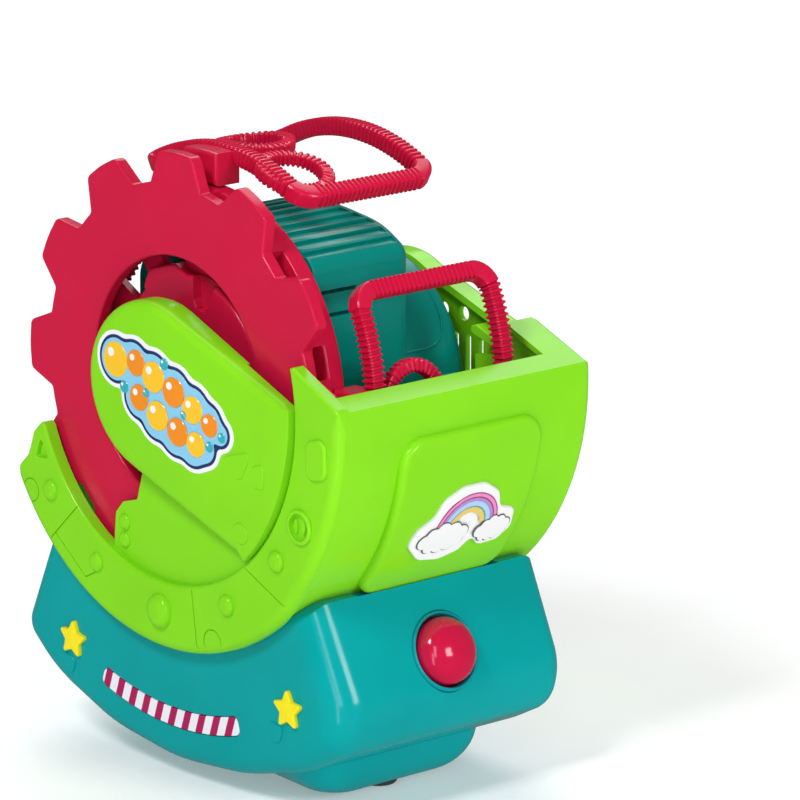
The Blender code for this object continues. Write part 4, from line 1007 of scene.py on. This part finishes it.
BUBBLES = ((-14.0, 8.4, 6.2, "amber"), (-3.4, 9.0, 4.6, "orange"), (5.4, 5.6, 5.4, "amber"),
           (15.2, 2.0, 5.2, "orange"), (24.2, -2.6, 4.8, "amber"), (32.2, -6.6, 4.0, "orange"),
           (-2.0, -2.8, 4.6, "orange"), (7.0, -7.6, 5.2, "amber"), (16.6, -11.6, 5.0, "orange"),
           (25.4, -14.4, 4.4, "amber"), (-9.6, -0.4, 2.2, "aqua"), (38.0, -9.8, 1.8, "aqua"),
           (32.0, -14.0, 1.9, "aqua"), (10.8, 11.0, 2.0, "aqua"), (1.6, -0.6, 1.6, "aqua"),
           (20.0, -5.0, 1.6, "aqua"))


def build_arm_sticker():
    """A generic bubble motif on a die-cut white film."""
    def lifted(level):
        return lambda p: arm_face(p) - level

    blobs = [(-14.0, 8.5, 8.6), (-5.0, 8.0, 9.0), (5.0, 5.4, 9.2), (15.0, 1.8, 9.2), (24.0, -2.4, 8.8),
             (31.0, -6.0, 7.8), (37.0, -9.0, 5.0), (-2.0, -3.0, 8.0), (7.0, -8.0, 9.0), (16.0, -12.0, 9.0),
             (24.0, -15.0, 8.2), (29.0, -15.0, 6.4)]
    film = smooth_union(blobs, 1.5)
    edge = smooth_union(blobs, 0.0)
    inner = smooth_union(blobs, -1.1)
    piece(relief_on(lifted(0.0), film, 0.30, 0.1), "fine_arm_sticker", "arm_film", "machine", ["arm_sticker"],
          sharp=60)
    for name, outline, level, height, colour in (("border", edge, 0.28, 0.10, "navy"),
                                                 ("ground", inner, 0.36, 0.08, "sky")):
        piece(relief_on(lifted(level), outline, height, 0.02, 0.05), f"sticker_{name}", "arm_film",
              material=INK[colour])
    for number, (a, b, r, colour) in enumerate(BUBBLES):
        bubble = relief_on(lifted(0.42), circle(r, 36, (a, b)), 0.22, 0.16, 0.05)
        piece(bubble, f"sticker_bubble_{number + 1}", "arm_film", material=INK[colour])
        shine = circle(r * 0.26, 18, (a - r * 0.36, b + r * 0.38))
        piece(relief_on(lifted(0.62), shine, 0.08, 0.03, 0.05), f"sticker_shine_{number + 1}", "arm_film")


def smooth_union(blobs, grow):
    """The outside of a chain of overlapping discs, walked round and smoothed."""
    edge = []
    for x, y, radius in blobs:
        for point in circle(radius + grow, 48, (x, y)):
            if all(math.hypot(point[0] - a, point[1] - b) >= r + grow - 0.01 for a, b, r in blobs):
                edge.append(point)
    path = [edge.pop(0)]
    while edge:
        nearest = min(range(len(edge)), key=lambda i: math.dist(edge[i], path[-1]))
        if math.dist(edge[nearest], path[-1]) > 8.0:
            break
        path.append(edge.pop(nearest))
    even = [(p.x, p.y) for p in resample([Vector((*p, 0.0)) for p in path], 0.6)]
    count = len(even)
    return [(sum(even[(k + j) % count][0] for j in range(-3, 4)) / 7,
             sum(even[(k + j) % count][1] for j in range(-3, 4)) / 7) for k in range(count)]


def on_pad(outline, level, height, edge, step=2.0):
    """A thin raised shape on the pad; its outline is (across, along) from the sticker's middle."""
    radius = TROUGH + 3.15
    middle_x = 54.2
    middle_angle = -25.0

    def wrap(points, lift):
        return [lay(middle_x + a, polar(radius + lift, middle_angle + math.degrees(b / radius)))
                for a, b in points]

    outline = spaced(outline, step)
    return Shape().solid([wrap(outline, level - 0.05), wrap(outline, level + height - edge),
                          wrap(inset(outline, edge), level + height)])


def cloud(middle, wide, tall, grow=0.0):
    """The scalloped outline of a plain cloud."""
    puffs = [(-8.4, -0.6, 3.4), (-5.4, 2.2, 3.3), (-1.0, 3.9, 3.5), (4.0, 3.2, 3.4), (7.9, 0.8, 3.5),
             (7.4, -2.8, 2.8), (3.6, -4.2, 2.9), (-0.8, -4.6, 2.8), (-5.2, -3.8, 2.9), (0.0, 0.0, 5.4),
             (-3.5, 0.0, 4.4), (3.5, 0.0, 4.4)]
    outline = []
    for i in range(120):
        way = polar(1.0, 3.0 * i)
        reach = 0.0
        for x, y, radius in puffs:
            along = x * way[0] + y * way[1]
            aside = x * way[1] - y * way[0]
            if abs(aside) < radius:
                reach = max(reach, along + math.sqrt(radius ** 2 - aside ** 2))
        outline.append((middle[0] + (way[0] * reach) * wide + way[0] * grow,
                        middle[1] + (way[1] * reach) * tall + way[1] * grow))
    return outline


def build_rainbow():
    """A plain rainbow between two plain clouds on a puffy die-cut sticker."""
    whole = rounded([(-23.0, -7.0), (-21.2, -0.8), (-15.0, 3.4), (-12.0, 10.0), (-4.0, 13.9), (5.4, 13.9),
                     (12.4, 9.6), (15.2, 2.4), (22.6, 0.6), (24.0, -7.6), (19.6, -13.0), (11.4, -13.6),
                     (6.2, -8.8), (2.6, -14.0), (-5.6, -16.6), (-15.6, -14.6)],
                    [4, 4, 5, 7, 7, 7, 6, 4, 4, 4, 4, 4, 2, 4, 9, 6], 8)
    piece(on_pad(whole, 0.0, 1.3, 0.5), "fine_rainbow_sticker", "rainbow_film", "machine",
          ["rainbow_sticker"], sharp=50)
    centre = (0.7, -3.1)
    for number, (outer, inner, colour) in enumerate((
            (14.0, 13.6, "magenta"), (13.6, 12.4, "pink"), (12.4, 11.9, "magenta"), (11.9, 10.6, "violet"),
            (10.6, 8.8, "pale_blue"), (8.8, 8.5, "aqua"), (8.3, 6.2, "gold"))):
        band = arc(outer, 8, 172, 36, centre) + arc(inner, 172, 8, 36, centre)
        piece(on_pad(band, 1.25, 0.14, 0.02), f"rainbow_band_{number + 1}", "rainbow_film",
              material=INK[colour])
    for number, size in enumerate((((-8.3, -5.4), 0.98, 0.90), ((14.2, -6.0), 0.70, 0.78))):
        piece(on_pad(cloud(*size), 1.3, 0.2, 0.03, 0.5), f"cloud_line_{number + 1}", "rainbow_film",
              material=INK["line_grey"])
        piece(on_pad(cloud(*size, -0.45), 1.3, 0.4, 0.05, 0.5), f"cloud_face_{number + 1}", "rainbow_film")


# ---- studio

AIM = (0, 0, 0.1)
FLOOR_GLOW = 0.25
WORLD_GLOW = 0.16


def area_light(name, place, target, size, power):
    lamp = bpy.data.lights.new(name, "AREA")
    lamp.shape = "RECTANGLE"
    lamp.size = size[0]
    lamp.size_y = size[1]
    lamp.energy = power
    thing = bpy.data.objects.new(name, lamp)
    bpy.context.scene.collection.objects.link(thing)
    thing.location = place
    direction = Vector(target) - Vector(place)
    thing.rotation_euler = direction.to_track_quat("-Z", "Y").to_euler()


def build_studio():
    data = bpy.data.meshes.new("floor")
    shape = bmesh.new()
    corners = [shape.verts.new(p) for p in ((-3, -3, 0), (3, -3, 0), (3, 3, 0), (-3, 3, 0))]
    shape.faces.new(corners)
    shape.to_mesh(data)
    shape.free()
    floor = bpy.data.objects.new("floor", data)
    bpy.context.scene.collection.objects.link(floor)
    floor.data.materials.append(plastic("floor_white", (0.86, 0.86, 0.87), 0.55, spread=0.004, bump=0.0))
    put(floor.data.materials[0].node_tree.nodes["Principled BSDF"],
        {"Emission Color": (1.0, 1.0, 1.0, 1.0), "Emission Strength": FLOOR_GLOW})
    floor.visible_glossy = False
    world = bpy.data.worlds.new("studio")
    world.use_nodes = True
    put(world.node_tree.nodes["Background"], {"Color": (1.0, 1.0, 1.0, 1.0), "Strength": WORLD_GLOW})
    bpy.context.scene.world = world
    area_light("key", (-1.05, -0.30, 1.25), AIM, (0.34, 0.34), 12.0)
    area_light("front", (0.20, -1.50, 0.55), AIM, (0.45, 0.45), 8.5)
    area_light("strip", (-1.06, -1.20, 0.66), AIM, (0.26, 0.90), 4.2)
    area_light("low_strip", (-0.50, -0.42, 0.03), (0, 0, 0.12), (0.08, 0.40), 0.5)
    area_light("top", (0.1, 0.3, 1.4), AIM, (0.8, 0.8), 3.5)
    area_light("backdrop", (1.1, 1.2, 1.5), (0.9, 1.5, 0), (1.6, 1.6), 22.0)


CAMERA_AZIMUTH = -41.79
CAMERA_ELEVATION = 13.97
CAMERA_RIGHT = 75.94
CAMERA_DROP = 5.54
CAMERA_DISTANCE = 2034.1


def build_camera():
    camera = bpy.data.cameras.new("camera")
    camera.lens = 270.0
    camera.sensor_width = 36.0
    camera.clip_end = 20.0
    thing = bpy.data.objects.new("camera", camera)
    bpy.context.scene.collection.objects.link(thing)
    azimuth = math.radians(CAMERA_AZIMUTH)
    elevation = math.radians(CAMERA_ELEVATION)
    right = Vector((math.cos(azimuth), math.sin(azimuth), 0.0))
    back = Vector((math.sin(azimuth) * math.cos(elevation), -math.cos(azimuth) * math.cos(elevation),
                   math.sin(elevation)))
    up = back.cross(right)
    spot = AXLE + right * CAMERA_RIGHT - up * CAMERA_DROP + back * CAMERA_DISTANCE
    turn = Matrix((right, up, back)).transposed().to_4x4()
    thing.matrix_world = Matrix.Translation(spot * MM) @ turn
    bpy.context.scene.camera = thing
    bpy.context.scene.view_settings.view_transform = "Standard"


build_camera()
build_studio()
build_wheel()
build_wands()
build_flange()
build_trough()
build_pad()
build_right_cover()
build_drum()
build_volute()
build_arm()
build_base()
build_pedestal()
build_button()
build_base_trim()
build_arm_sticker()
build_rainbow()
